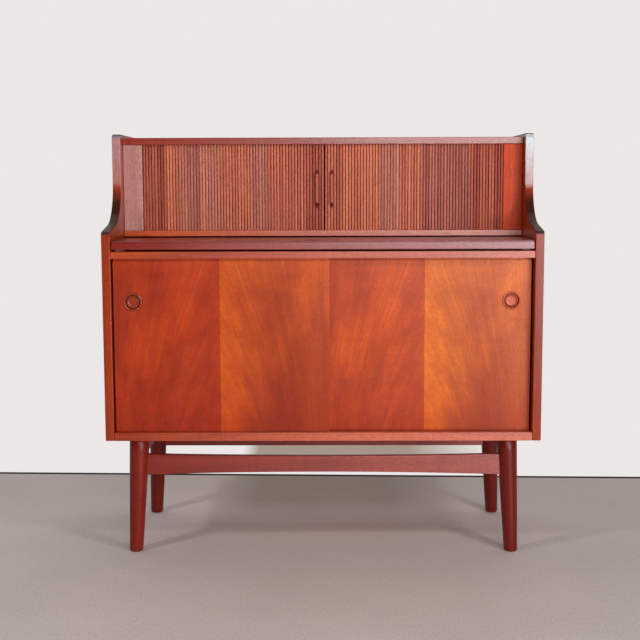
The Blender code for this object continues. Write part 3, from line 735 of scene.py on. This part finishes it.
def make_side(side, outward):
    node = f"{side}_side"
    low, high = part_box(node)
    work = prism(side_outline(), low.x, high.x, "X", sizes().side_edge)
    piece = piece_from(work, f"{side}_side_panel", "case", "side_teak", [node])
    back_low, back_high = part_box("lower_back_panel")
    edges = sorted((outward * (INNER - MILLI), outward * (back_high.x + 0.0003)))
    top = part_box("hutch_back_panel")[1].z + 0.0003
    carve(piece, block((edges[0], back_low.y - 0.0004, CASE_BOTTOM - MILLI), (edges[1], BACK + MILLI, top)))
    for row in ("front", "rear"):
        _, y, z = middle_of(f"{side}_shelf_pin_outer_{row}")
        deep = outward * (INNER + 0.0073)
        carve(piece, rod(0.0028, (deep, y, z), (outward * (INNER - MILLI), y, z)))
    stain_end_grain_and_paint_sheen(piece.data, *EDGE_SHEENS_AND_SHADES[side])
    lay_grain(piece, "Z", 11 + outward)
    dry_end_grain(piece)
    smooth(piece)


# ---------------------------------------------------------------- case boards


def cut_door_grooves(piece, low_z, high_z):
    for side, _ in SIDES:
        middle = middle_of(f"{side}_door")[1]
        carve(piece, block((-INNER - 0.02, middle - 0.0028, low_z), (INNER + 0.02, middle + 0.0028, high_z)))


def make_case():
    # Painted light: the bottom and support boards grow lighter and take a painted sheen towards the right
    bottom = board("bottom_panel", "X", 1, shades=(-0.38, 0.80), grey_tints_and_sheens=(0.0, 0.17))
    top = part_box("bottom_panel")[1].z
    cut_door_grooves(bottom, top - 0.006, top + MILLI)
    support = board("leaf_support_board", "X", 2, shades=(-0.24, 0.18), grey_tints_and_sheens=(0.0, 0.17))
    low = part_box("leaf_support_board")[0].z
    cut_door_grooves(support, low - MILLI, low + 0.008)
    for piece in (bottom, support):
        smooth(piece)
    smooth(board("centre_partition", "Z", 3))
    for number, (side, _) in enumerate(SIDES):
        smooth(board(f"{side}_shelf", "X", 4 + number))
    smooth(board("lower_back_panel", "Z", 6, 0.0004))
    smooth(board("hutch_back_panel", "Z", 7, 0.0004))


# ---------------------------------------------------------------- hutch


TRACK_RADIUS = 0.022
TRACK_WIDTH = 0.0050
TRACK_DEPTH = 0.0040
TRACK_SIDE = 0.5125
TRACK_REAR_END = 0.160
TRACK_REAR = FRONT + 0.4235


def track_edge(offset):
    """One edge of the slats' track, from its left rear end round the front to its right rear end."""
    middle = (CURTAIN_LOW.y + CURTAIN_HIGH.y) / 2
    side = TRACK_SIDE - TRACK_RADIUS
    rear = TRACK_REAR - TRACK_RADIUS
    front = middle + TRACK_RADIUS
    radius = TRACK_RADIUS + offset
    return ([(-TRACK_REAR_END, TRACK_REAR + offset)]
            + arc((-side, rear), radius, 90, 180, 8)
            + arc((-side, front), radius, 180, 270, 8)
            + arc((side, front), radius, 270, 360, 8)
            + arc((side, rear), radius, 0, 90, 8)
            + [(TRACK_REAR_END, TRACK_REAR + offset)])


def cut_track(piece, low_z, high_z):
    outline = track_edge(TRACK_WIDTH / 2) + track_edge(-TRACK_WIDTH / 2)[::-1]
    carve(piece, prism(outline, low_z, high_z, "Z"))


def make_hutch():
    # Painted light: the hutch boards take a painted sheen towards the right; the floor board is also lighter
    # overall
    floor = board("hutch_bottom_board", "X", 8, 0.0014, shades=(0.72, 0.85), grey_tints_and_sheens=(0.0, 0.34))
    cut_track(floor, HUTCH_FLOOR - TRACK_DEPTH, HUTCH_FLOOR + MILLI)
    top = board("hutch_top_board", "X", 9, 0.0014, "top_teak", shades=(0.0, 0.05), grey_tints_and_sheens=(0.0, 0.13))
    cut_track(top, HUTCH_CEILING - MILLI, HUTCH_CEILING + TRACK_DEPTH)
    for piece in (floor, top):
        smooth(piece)
    for number, (side, _) in enumerate(SIDES):
        # The left stile takes the copy of the stile finish with a painted sheen
        stile = "bloomed_teak" if side == "left" else "stile_teak"
        smooth(board(f"{side}_end_stile", "Z", 20 + number, finish=stile))
        smooth(board(f"{side}_hutch_liner", "Z", 22 + number, 0.0006))
        smooth(board(f"{side}_pigeonhole_divider", "Z", 24 + number, 0.0008))
    smooth(board("inner_back_panel", "X", 26, 0.0004))
    smooth(board("pigeonhole_shelf", "X", 27, 0.0008))


# ---------------------------------------------------------------- tambour


# How dark a slat's or a handle's flank is painted, as painted shade in the gaps beside it
FLANK_SHADE = 0.85
# Places across half a slat where its section has a point
SLAT_SHAPE = (1.0, 0.93, 0.82, 0.66, 0.40, 0.0, -0.40, -0.66, -0.82, -0.93, -1.0)
# Runs of slats from the meeting line outwards: how many, their shade and a grey tint on some runs
CURTAIN_BATCHES = {
    "left": ((7, -0.35, 0.0), (12, 0.04, 0.0), (6, -0.10, 0.06), (10, 0.10, 0.0), (14, 0.12, 0.06),
             (4, 0.45, 0.0), (12, -0.20, 0.0)),
    "right": ((6, 0.14, 0.0), (13, 0.32, 0.0), (6, 0.0, 0.08), (8, 0.22, 0.0), (16, -0.32, 0.05),
              (14, -0.45, 0.0)),
}


def slat_ring(left, right, y_front, y_back, crown, thin):
    """A slat's section as (x, y): flat back, upright flanks and a front that rolls off to both sides."""
    half = (right - left) / 2
    middle = (left + right) / 2
    points = [(right, y_back)]
    for across in SLAT_SHAPE:
        points.append((middle + half * across, y_front + crown * abs(across) ** 4))
    points.append((left, y_back))
    if thin:
        centre = (y_front + y_back) / 2
        limit = 0.0021
        points = [(x, min(max(y, centre - limit), centre + limit)) for x, y in points]
    return points


def add_slat(work, left, right, seed, level, bloom, layers):
    """One slat with its thinned ends in the track, its own grain and shade, and flanks darkened with painted
    shade.
    """
    low = HUTCH_FLOOR + 0.0003
    high = HUTCH_CEILING - 0.0003
    reach = TRACK_DEPTH - 0.0005
    y_front = CURTAIN_LOW.y
    y_back = CURTAIN_HIGH.y - 0.0008
    # Painted shade: the flanks and rolled-off edges of each slat are darkened, standing for the shade in the
    # gaps between slats
    flanks = [FLANK_SHADE] + [FLANK_SHADE if abs(across) > 0.9 else 0.30 if abs(across) > 0.8 else 0.0
                        for across in SLAT_SHAPE] + [FLANK_SHADE]
    grain, shades, end_grain_and_shade_marks, grey_tints_and_sheens = layers
    rings = []
    for z, thin in ((low - reach, True), (low, True), (low, False),
                    (high, False), (high, True), (high + reach, True)):
        ring = slat_ring(left, right, y_front, y_back, 0.0026, thin)
        rings.append([work.verts.new((x, y, z)) for x, y in ring])
    for ring in rings:
        for vertex, flank in zip(ring, flanks):
            vertex[grain] = vertex.co + Vector(seed)
            vertex[shades] = level
            vertex[end_grain_and_shade_marks] = flank
            vertex[grey_tints_and_sheens] = bloom
    skin(work, rings)


def make_slats(name, outward, start, batch, body, node, chance):
    """A run of slats from start outwards, each with the shade and grey tint of its batch."""
    pitch = sizes().slat
    gap = sizes().slat_gap
    work = bmesh.new()
    layers = [work.verts.layers.float_vector.new("grain")]
    layers += [work.verts.layers.float.new(layer) for layer in ("tone", "end_grain_and_shade", "bloom")]
    for number, (level, bloom) in enumerate(batch):
        near = start + outward * (number * pitch + gap / 2)
        far = start + outward * ((number + 1) * pitch - gap / 2)
        if "lead" in name and number == 0:
            near += outward * sizes().meeting_gap
        left, right = sorted((near, far))
        seed = (chance.uniform(0, 9), chance.uniform(0, 9), chance.uniform(0, 9))
        add_slat(work, left, right, seed, level + chance.uniform(-0.26, 0.26), bloom, layers)
    bmesh.ops.recalc_face_normals(work, faces=work.faces)
    piece = piece_from(work, name, body, "tambour_slats", [node])
    shade_round(piece, 40)
    return piece


def squash_into_side(piece):
    """Give a curtain its own copy of its mesh."""
    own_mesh(piece)


def handle_ring(z, half_width, depth, x, base):
    """A section of the handle as points round its edge: flat front, sloping flanks, flat back."""
    shape = ((1.0, 0.0), (0.97, 0.30), (0.86, 0.72), (0.72, 0.93), (0.55, 1.0), (0.0, 1.0))
    right = [(x + half_width * across, base - depth * out, z) for across, out in shape]
    left = [(x - half_width * across, base - depth * out, z) for across, out in shape[:-1]]
    return right + left[::-1]


# Length of a handle's flat middle above and below its centre
GRIP_ABOVE = 0.0390
GRIP_BELOW = 0.0360


def make_handle(side, outward):
    """A slender carved bar, flat along its middle and scooped down to a dark point at each end."""
    node = f"{side}_tambour_handle"
    low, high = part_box(node)
    x, _, middle = middle_of(node)
    half = (high.z - low.z) / 2
    work = bmesh.new()
    end_grain_and_shade_marks = work.verts.layers.float.new("end_grain_and_shade")
    rings = []
    for i in range(61):
        along = -1 + i / 30
        z = middle + half * along
        bar = GRIP_ABOVE if along > 0 else GRIP_BELOW
        past = max(0.0, (abs(along) * half - bar) / (half - bar))
        width = (high.x - low.x) / 2 * (1 - 0.80 * past ** 1.6)
        depth = (high.y - low.y) * (0.03 + 0.97 * (1 - past) ** 1.7)
        ring = [work.verts.new(point) for point in handle_ring(z, width, depth, x, high.y)]
        for vertex in ring:
            # Painted shade darkens the flanks beside the bar; the scooped ends are darkened too, partly as
            # end grain and partly as painted shade
            flank = FLANK_SHADE if abs(vertex.co.x - x) > 0.9 * width else 0.0
            vertex[end_grain_and_shade_marks] = max(flank, min(FLANK_SHADE, past * 6.0))
        rings.append(ring)
    skin(work, rings)
    bmesh.ops.recalc_face_normals(work, faces=work.faces)
    piece = piece_from(work, f"{side}_tambour_grip", f"{side}_tambour", "handle_teak", [node])
    lay_grain(piece, "Z", 30 + outward)
    shade_round(piece, 30)


def make_tambours():
    pitch = sizes().slat
    for number, (side, outward) in enumerate(SIDES):
        chance = random.Random(41 + number)
        lead_low, lead_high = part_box(f"{side}_tambour_lead_slat")
        low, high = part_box(f"{side}_tambour_curtain")
        lead_start, start = (lead_low.x, low.x) if outward > 0 else (lead_high.x, high.x)
        shades = [(level, bloom) for amount, level, bloom in CURTAIN_BATCHES[side] for _ in range(amount)]
        make_slats(f"{side}_lead_slats", outward, lead_start, shades[:4], f"{side}_tambour",
                   f"{side}_tambour_lead_slat", chance)
        count = round((high.x - low.x) / pitch)
        curtain = make_slats(f"{side}_curtain_slats", outward, start, shades[4:4 + count], "case",
                             f"{side}_tambour_curtain", chance)
        work = block((low.x + MILLI, high.y - 0.0007, HUTCH_FLOOR + 0.004),
                     (high.x - MILLI, high.y, HUTCH_CEILING - 0.004))
        canvas = piece_from(work, f"{side}_curtain_canvas", "case", "canvas")
        lay_grain(canvas, "Z", 50 + number)
        for piece in (curtain, canvas):
            squash_into_side(piece)
        make_handle(side, outward)


# ---------------------------------------------------------------- writing leaf


def make_leaf():
    front = LEAF_LOW.y
    outline = ([(LEAF_HIGH.y, LEAF_LOW.z)]
               + arc((front + 0.002, LEAF_LOW.z + 0.002), 0.002, 270, 180, 4)
               + arc((front + 0.006, LEAF_HIGH.z - 0.006), 0.006, 180, 90, 8)
               + [(LEAF_HIGH.y, LEAF_HIGH.z)])
    work = prism(outline, LEAF_LOW.x, LEAF_HIGH.x, "X", 0.0009)
    leaf = piece_from(work, "writing_leaf_board", "leaf", "leaf_teak", ["writing_leaf"])
    # Painted light: the leaf grows lighter and takes a painted sheen towards the right
    lay_grain(leaf, "X", 60, shades=(-0.12, 0.28), grey_tints_and_sheens=(0.0, 0.27))
    smooth(leaf)
    for number, (side, _) in enumerate(SIDES):
        smooth(board(f"{side}_leaf_runner", "Y", 61 + number, 0.0006))
        smooth(board(f"{side}_leaf_catch", "X", 63 + number, 0.0005))
        smooth(board(f"{side}_leaf_stop", "X", 65 + number, 0.0005, body="leaf"))


# ---------------------------------------------------------------- sliding doors


def pull_profile():
    """The ring pull as (radius, height above the door's face): flat floor, inner lip, groove, round rim."""
    hollow = arc((0.0111, -0.0036), 0.0026, 270, 360, 5)
    lip = arc((0.0146, -0.0028), 0.0009, 180, 0, 6)
    rim = arc((0.0209, 0.0002), 0.0025, 195, -5, 12)
    return ([(0.0, -0.0062), (0.0060, -0.0062)] + hollow + lip
            + [(0.0158, -0.0046), (0.0174, -0.0048), (0.0182, -0.0030)] + rim
            + [(0.0235, 0.0001), (0.0202, 0.0001), (0.0202, -0.0107), (0.0, -0.0107)])


def paint_groove_shade(work):
    """Paint shade into the groove inside a pull's rim and along the foot of the rim."""
    end_grain_and_shade_marks = work.verts.layers.float.new("end_grain_and_shade")
    for vertex in work.verts:
        radius = math.hypot(vertex.co.x, vertex.co.y)
        in_groove = 0.0156 < radius < 0.0184 and vertex.co.z < -0.0015
        vertex[end_grain_and_shade_marks] = 0.9 if in_groove or radius > 0.02335 else 0.0


# Heights of the door's face between its two tongues, and the veneer seam's distance from the desk's middle
DOOR_FOOT = 0.3212
DOOR_HEAD = 0.7520
VENEER_SEAM = 0.2570


def make_door(side, outward):
    """A veneered door with a thin tongue along its head and foot, and its ring pull."""
    node = f"{side}_door"
    low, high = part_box(node)
    body = f"{side}_sliding_door"
    middle_y = middle_of(node)[1]
    work = block((low.x, low.y, DOOR_FOOT), (high.x, high.y, DOOR_HEAD), 0.0009)
    door = piece_from(work, f"{side}_door_panel", body, "door_veneer", [node])
    tongue = block((low.x + 0.0005, middle_y - 0.0025, low.z), (high.x - 0.0005, middle_y + 0.0025, high.z))
    carve(door, tongue, "UNION")
    x, _, z = middle_of(f"{side}_door_pull")
    carve(door, rod(0.0206, (x, low.y - 0.002, z), (x, low.y + 0.011, z), 64))
    level = 1.0 if outward > 0 else 0.0
    lay_grain(door, "Z", 0, (outward * VENEER_SEAM, 0.0, (DOOR_FOOT + DOOR_HEAD) / 2), (level, level))
    smooth(door)
    ring = turned(pull_profile())
    paint_groove_shade(ring)
    matrix = Matrix.Translation((x, low.y, z)) @ Matrix.Rotation(math.pi / 2, 4, "X")
    bmesh.ops.transform(ring, matrix=matrix, verts=ring.verts)
    pull = piece_from(ring, f"{side}_ring_pull", body, "turned_teak", [f"{side}_door_pull"])
    # Painted light: the left pull darker, standing for the shade it sits in, the right one lighter and hazier
    level = 0.5 * outward - 0.2
    lay_grain(pull, "X", 70 + outward, shades=(level, level))
    shade_round(pull, 50)


# ---------------------------------------------------------------- leg frame


# A leg's middle at its top and foot, as the distance from the desk's middle and from the case's front
LEG_TOP = (0.4715, 0.0525)
LEG_FOOT = (0.4840, 0.0400)
LEG_RADII = (0.0260, 0.0172)
LEG_HEIGHT = CASE_BOTTOM - 0.0003
CORNERS = (("front_left", -1, 1), ("front_right", 1, 1), ("rear_left", -1, -1), ("rear_right", 1, -1))


def leg_profile():
    """A leg's taper as (radius, height), its foot rounded over."""
    top, foot = LEG_RADII
    slim = foot + (top - foot) * 0.006 / LEG_HEIGHT
    taper = []
    for i in range(1, 9):
        share = i / 9
        taper.append((top + (slim - top) * share + 0.0002 * math.sin(math.pi * share),
                      LEG_HEIGHT + (0.006 - LEG_HEIGHT) * share))
    round_foot = arc((foot - 0.0048, 0.0048), 0.0048, 0, -90, 6)
    return ([(0.0, LEG_HEIGHT), (top - 0.0006, LEG_HEIGHT), (top, LEG_HEIGHT - 0.0006)] + taper
            + [(slim, 0.006)] + round_foot + [(0.0, 0.0)])


def splayed(work, outward, forward):
    """Lean a turned leg outwards, keeping its top and foot level, and stand it in its corner."""
    lean_x = outward * (LEG_FOOT[0] - LEG_TOP[0]) / LEG_HEIGHT
    lean_y = forward * (LEG_FOOT[1] - LEG_TOP[1]) / LEG_HEIGHT
    y = FRONT + LEG_TOP[1] if forward > 0 else BACK - LEG_TOP[1]
    shear = Matrix(((1, 0, -lean_x, outward * LEG_TOP[0] + lean_x * LEG_HEIGHT),
                    (0, 1, -lean_y, y + lean_y * LEG_HEIGHT), (0, 0, 1, 0), (0, 0, 0, 1)))
    bmesh.ops.transform(work, matrix=shear, verts=work.verts)
    return work


def leg_cutter(outward, forward):
    profile = [(0.0, LEG_HEIGHT + 0.02), (LEG_RADII[0] + 0.0009, LEG_HEIGHT + 0.02),
               (LEG_RADII[1] - 0.0003, -0.02), (0.0, -0.02)]
    return splayed(turned(profile, 48), outward, forward)


def front_rail_outline(low, high):
    """Elevation of the front rail, waisted towards its middle."""
    top = []
    bottom = []
    for i in range(33):
        along = -1 + i / 16
        bow = 1 - along * along
        top.append((along * high.x, high.z - 0.0055 * bow))
        bottom.append((along * high.x, low.z + 0.0080 * bow))
    return bottom + top[::-1]


def make_rail(node, work, along, seed, corners, finish="leg_frame_teak"):
    piece = piece_from(work, node + "_bar", "case", finish, [node])
    for outward, forward in corners:
        carve(piece, leg_cutter(outward, forward))
    # Painted light: the rails are darker at the left and grow lighter, with a painted sheen, towards the
    # right
    lay_grain(piece, along, seed, shades=(-0.50, 0.35), grey_tints_and_sheens=(0.0, 0.12))
    smooth(piece)


def make_leg_frame():
    for number, (name, outward, forward) in enumerate(CORNERS):
        work = splayed(turned(leg_profile()), outward, forward)
        leg = piece_from(work, f"{name}_turned_leg", "case", "leg_teak", [f"{name}_leg"])
        # Painted shade: the rear legs are darker, standing under the case; the front right leg is a little
        # darker too
        dim = -0.55 if forward < 0 else -0.35 if outward > 0 else 0.0
        lay_grain(leg, "Z", 80 + number, shades=(dim, dim))
        shade_round(leg, 50)
    inner_x = LEG_TOP[0] + 0.002
    low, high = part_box("front_rail")
    outline = [(min(max(x, -inner_x), inner_x), z) for x, z in front_rail_outline(low, high)]
    make_rail("front_rail", prism(outline, low.y, high.y, "Y", 0.0022), "X", 90, ((-1, 1), (1, 1)))
    low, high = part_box("rear_rail")
    work = block((-inner_x, low.y, low.z), (inner_x, high.y, high.z), 0.0022)
    make_rail("rear_rail", work, "X", 91, ((-1, -1), (1, -1)))
    for number, (side, outward) in enumerate(SIDES):
        low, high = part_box(f"{side}_side_rail")
        inset = 0.006
        work = block((low.x, low.y + inset, low.z), (high.x, high.y - inset, high.z), 0.0018)
        ends = ((outward, 1), (outward, -1))
        make_rail(f"{side}_side_rail", work, "Y", 92 + number, ends, "dull_frame_teak")


# ---------------------------------------------------------------- fittings


def dress_fittings():
    """Steel on the pins and screws, which keep their own shape."""
    for name, thing in frame["nodes"].items():
        if "shelf_pin" in name or "screw" in name:
            thing.material_slots[0].material = MATERIALS["steel_fittings"]


# ---------------------------------------------------------------- stage


CAMERA_PLACE = (0.01792, -3.14372, 0.94260)
CAMERA_TURN = 0.00835
CAMERA_TILT = 0.11515
CAMERA_ROLL = -0.00295
CAMERA_LENS = 66.246
WALL_LINE = 0.598
WALL_SKEW = -0.0336
WALL_GLOW = 0.60
CEILING_GLOW = 0.20
# name, place, aimed at, width, height, power
LAMPS = (
    ("key_left", (-1.85, -1.58, 2.06), (0.0, 0.0, 0.6), 0.22, 0.22, 13.2),
    ("key_right", (1.55, -1.87, 2.06), (0.0, 0.0, 0.6), 0.45, 0.45, 15.6),
    ("window", (0.8, -4.2, 1.45), (0.8, 0.0, 1.45), 1.6, 0.9, 51.0),
    ("low_window", (2.4, -4.2, 0.55), (2.4, 0.0, 0.55), 1.6, 0.9, 79.0),
    ("side_window", (2.4, -4.2, 1.45), (2.4, 0.0, 1.45), 1.6, 0.9, 6.0),
)


def floor_finish():
    """Warm grey sheet flooring with a faint fleck, painted lighter to the left and towards the back, with a
    painted shadow under the desk and a painted shade line along the wall; past the wall line, pale wall with
    the desk's painted shadow.
    """
    finish = Finish("stage_floor", 0.9)
    place = finish.add("TexCoord").outputs["Object"]
    x, y, _ = finish.split(place)
    fleck = finish.noise(finish.stretch(place, (260.0, 90.0, 260.0)), 2.0, 0.6)
    cloud = finish.noise(finish.stretch(place, (2.4, 2.4, 2.4)), 3.0, 0.5)
    grey = tuple(tones().floor)
    ground = finish.ramp(cloud, [(0.3, scaled(grey, 0.96)), (0.7, scaled(grey, 1.04))])
    ground = finish.tint(ground, finish.fit(fleck, 0.30, 0.70, 0.90, 1.10))
    # Painted light: the floor lighter to the left and towards the back
    ground = finish.tint(ground, finish.fit(x, -0.8, 0.8, 1.07, 0.92))
    ground = finish.tint(ground, finish.fit(y, -0.8, 0.6, 0.98, 1.12))
    # Painted shadow under the desk
    painted_shadow_under_desk = finish.maths("MULTIPLY", finish.fit(x, -0.36, -0.20), finish.fit(x, 0.20, 0.40, 1.0, 0.0))
    painted_shadow_under_desk = finish.maths("MULTIPLY", painted_shadow_under_desk, finish.fit(y, 0.05, 0.30))
    ground = finish.mix(painted_shadow_under_desk, ground, finish.tint(ground, (0.67, 0.66, 0.62)))
    past = finish.maths("MULTIPLY_ADD", x, -WALL_SKEW, y)
    wall = finish.maths("GREATER_THAN", past, WALL_LINE)
    # Painted shade: a dark line in the corner where floor meets wall
    seam = finish.maths("COMPARE", past, WALL_LINE + 0.008, 0.011)
    backed = finish.mix(wall, ground, (0.0, 0.0, 0.0))
    finish.give("Base Color", finish.mix(seam, backed, (0.05, 0.045, 0.04)))
    across = finish.maths("MULTIPLY", finish.fit(x, -0.290, -0.235), finish.fit(x, 0.30, 0.60, 1.0, 0.0))
    behind = finish.maths("MULTIPLY", finish.fit(y, 0.64, 0.86), finish.fit(y, 1.12, 1.30, 1.0, 0.0))
    shadow = finish.maths("MULTIPLY", across, behind)
    finish.give("Emission Color", finish.mix(shadow, tuple(tones().wall), (0.375, 0.300, 0.250)))
    finish.give("Emission Strength", finish.maths("GREATER_THAN", past, WALL_LINE + 0.019))
    finish.give("Specular IOR Level", 0.0)
    return finish.material


def panel_light(name, place, target, width, height, power):
    light = bpy.data.lights.new(name, "AREA")
    light.shape = "RECTANGLE"
    light.size = width
    light.size_y = height
    light.energy = power
    thing = bpy.data.objects.new(name, light)
    thing.location = place
    way = Vector(place) - Vector(target)
    thing.rotation_euler = way.to_track_quat("Z", "Y").to_euler()
    bpy.context.scene.collection.objects.link(thing)


def make_world():
    """Pale surroundings: a bright wall behind the desk, a softer ceiling and a dim room in front."""
    world = bpy.data.worlds.new("studio")
    bpy.context.scene.world = world
    world.use_nodes = True
    nodes = world.node_tree.nodes
    seen = nodes["Background"]
    seen.inputs[0].default_value = (*tones().wall, 1.0)
    sky = Tree(world.node_tree)
    _, ahead, up = sky.split(sky.add("TexCoord").outputs["Generated"])
    behind = sky.fit(ahead, 0.0, 0.35, 0.0, WALL_GLOW)
    glow = sky.maths("ADD", behind, sky.fit(up, 0.25, 0.95, 0.0, CEILING_GLOW))
    lighting = sky.fill(sky.add("Background"), (0.97, 0.98, 1.0, 1.0), glow)[0]
    ray = sky.add("LightPath").outputs["Is Camera Ray"]
    mixed = sky.fill(sky.add("MixShader"), ray, lighting, seen.outputs[0])[0]
    sky.feed(mixed, nodes["World Output"].inputs[0])


def make_camera():
    data = bpy.data.cameras.new("camera")
    data.sensor_width = 36.0
    data.lens = CAMERA_LENS
    data.dof.use_dof = False
    camera = bpy.data.objects.new("camera", data)
    turn = (Matrix.Rotation(CAMERA_TURN, 4, "Z") @ Matrix.Rotation(math.pi / 2 - CAMERA_TILT, 4, "X")
            @ Matrix.Rotation(CAMERA_ROLL, 4, "Z"))
    camera.matrix_world = Matrix.Translation(CAMERA_PLACE) @ turn
    bpy.context.scene.collection.objects.link(camera)
    bpy.context.scene.camera = camera


def make_stage():
    work = bmesh.new()
    bmesh.ops.create_grid(work, x_segments=8, y_segments=8, size=9.0)
    ground = bpy.data.objects.new("stage_floor", to_mesh(work, "stage_floor"))
    bpy.context.scene.collection.objects.link(ground)
    ground.data.materials.append(floor_finish())
    make_world()
    make_camera()
    for lamp in LAMPS:
        panel_light(*lamp)
    bpy.context.scene.view_settings.view_transform = "Standard"


# ---------------------------------------------------------------- tools


class DESK_OT_materials(bpy.types.Operator):
    """Make the desk's woods, canvas and steel"""
    bl_idname = "desk.materials"
    bl_label = "Materials"

    def execute(self, context):
        make_materials()
        return {"FINISHED"}


class DESK_OT_sides(bpy.types.Operator):
    """Make the two side panels with their stepped front"""
    bl_idname = "desk.sides"
    bl_label = "Side panels"

    def execute(self, context):
        for side, outward in SIDES:
            make_side(side, outward)
        return {"FINISHED"}


class DESK_OT_case(bpy.types.Operator):
    """Make the case's boards, shelves and backs"""
    bl_idname = "desk.case"
    bl_label = "Case boards"

    def execute(self, context):
        make_case()
        return {"FINISHED"}


class DESK_OT_hutch(bpy.types.Operator):
    """Make the hutch's boards, stiles and pigeonholes"""
    bl_idname = "desk.hutch"
    bl_label = "Hutch"

    def execute(self, context):
        make_hutch()
        return {"FINISHED"}


class DESK_OT_tambours(bpy.types.Operator):
    """Make the slatted curtains, their lead slats and their handles"""
    bl_idname = "desk.tambours"
    bl_label = "Tambours"

    def execute(self, context):
        make_tambours()
        return {"FINISHED"}


class DESK_OT_leaf(bpy.types.Operator):
    """Make the pull-out writing leaf, its runners, stops and catches"""
    bl_idname = "desk.leaf"
    bl_label = "Writing leaf"

    def execute(self, context):
        make_leaf()
        return {"FINISHED"}


class DESK_OT_doors(bpy.types.Operator):
    """Make the two sliding doors and their ring pulls"""
    bl_idname = "desk.doors"
    bl_label = "Sliding doors"

    def execute(self, context):
        for side, outward in SIDES:
            make_door(side, outward)
        return {"FINISHED"}


class DESK_OT_leg_frame(bpy.types.Operator):
    """Make the turned legs and the rails between them"""
    bl_idname = "desk.leg_frame"
    bl_label = "Leg frame"

    def execute(self, context):
        make_leg_frame()
        return {"FINISHED"}


class DESK_OT_fittings(bpy.types.Operator):
    """Finish the shelf pins and screws in steel"""
    bl_idname = "desk.fittings"
    bl_label = "Fittings"

    def execute(self, context):
        dress_fittings()
        return {"FINISHED"}


class DESK_OT_stage(bpy.types.Operator):
    """Make the floor, the lights and the camera"""
    bl_idname = "desk.stage"
    bl_label = "Stage"

    def execute(self, context):
        make_stage()
        return {"FINISHED"}


TOOLS = (DESK_OT_materials, DESK_OT_sides, DESK_OT_case, DESK_OT_hutch, DESK_OT_tambours, DESK_OT_leaf,
         DESK_OT_doors, DESK_OT_leg_frame, DESK_OT_fittings, DESK_OT_stage)


class DESK_PT_panel(bpy.types.Panel):
    bl_idname = "DESK_PT_panel"
    bl_label = "Secretary desk"
    bl_space_type = "VIEW_3D"
    bl_region_type = "UI"
    bl_category = "Desk"

    def draw(self, context):
        for tool in TOOLS:
            self.layout.operator(tool.bl_idname)
        for group in (context.scene.desk_sizes, context.scene.desk_tones):
            for name in group.bl_rna.properties.keys():
                if name not in ("rna_type", "name"):
                    self.layout.prop(group, name)


CLASSES = (DeskSizes, DeskTones, *TOOLS, DESK_PT_panel)


def register():
    for item in CLASSES:
        bpy.utils.register_class(item)
    bpy.types.Scene.desk_sizes = bpy.props.PointerProperty(type=DeskSizes)
    bpy.types.Scene.desk_tones = bpy.props.PointerProperty(type=DeskTones)


def unregister():
    del bpy.types.Scene.desk_tones
    del bpy.types.Scene.desk_sizes
    for item in reversed(CLASSES):
        bpy.utils.unregister_class(item)


def main():
    register()
    bpy.ops.desk.materials()
    bpy.ops.desk.sides()
    bpy.ops.desk.case()
    bpy.ops.desk.hutch()
    bpy.ops.desk.tambours()
    bpy.ops.desk.leaf()
    bpy.ops.desk.doors()
    bpy.ops.desk.leg_frame()
    bpy.ops.desk.fittings()
    bpy.ops.desk.stage()
    bpy.context.view_layer.update()


if __name__ == "__main__":
    main()
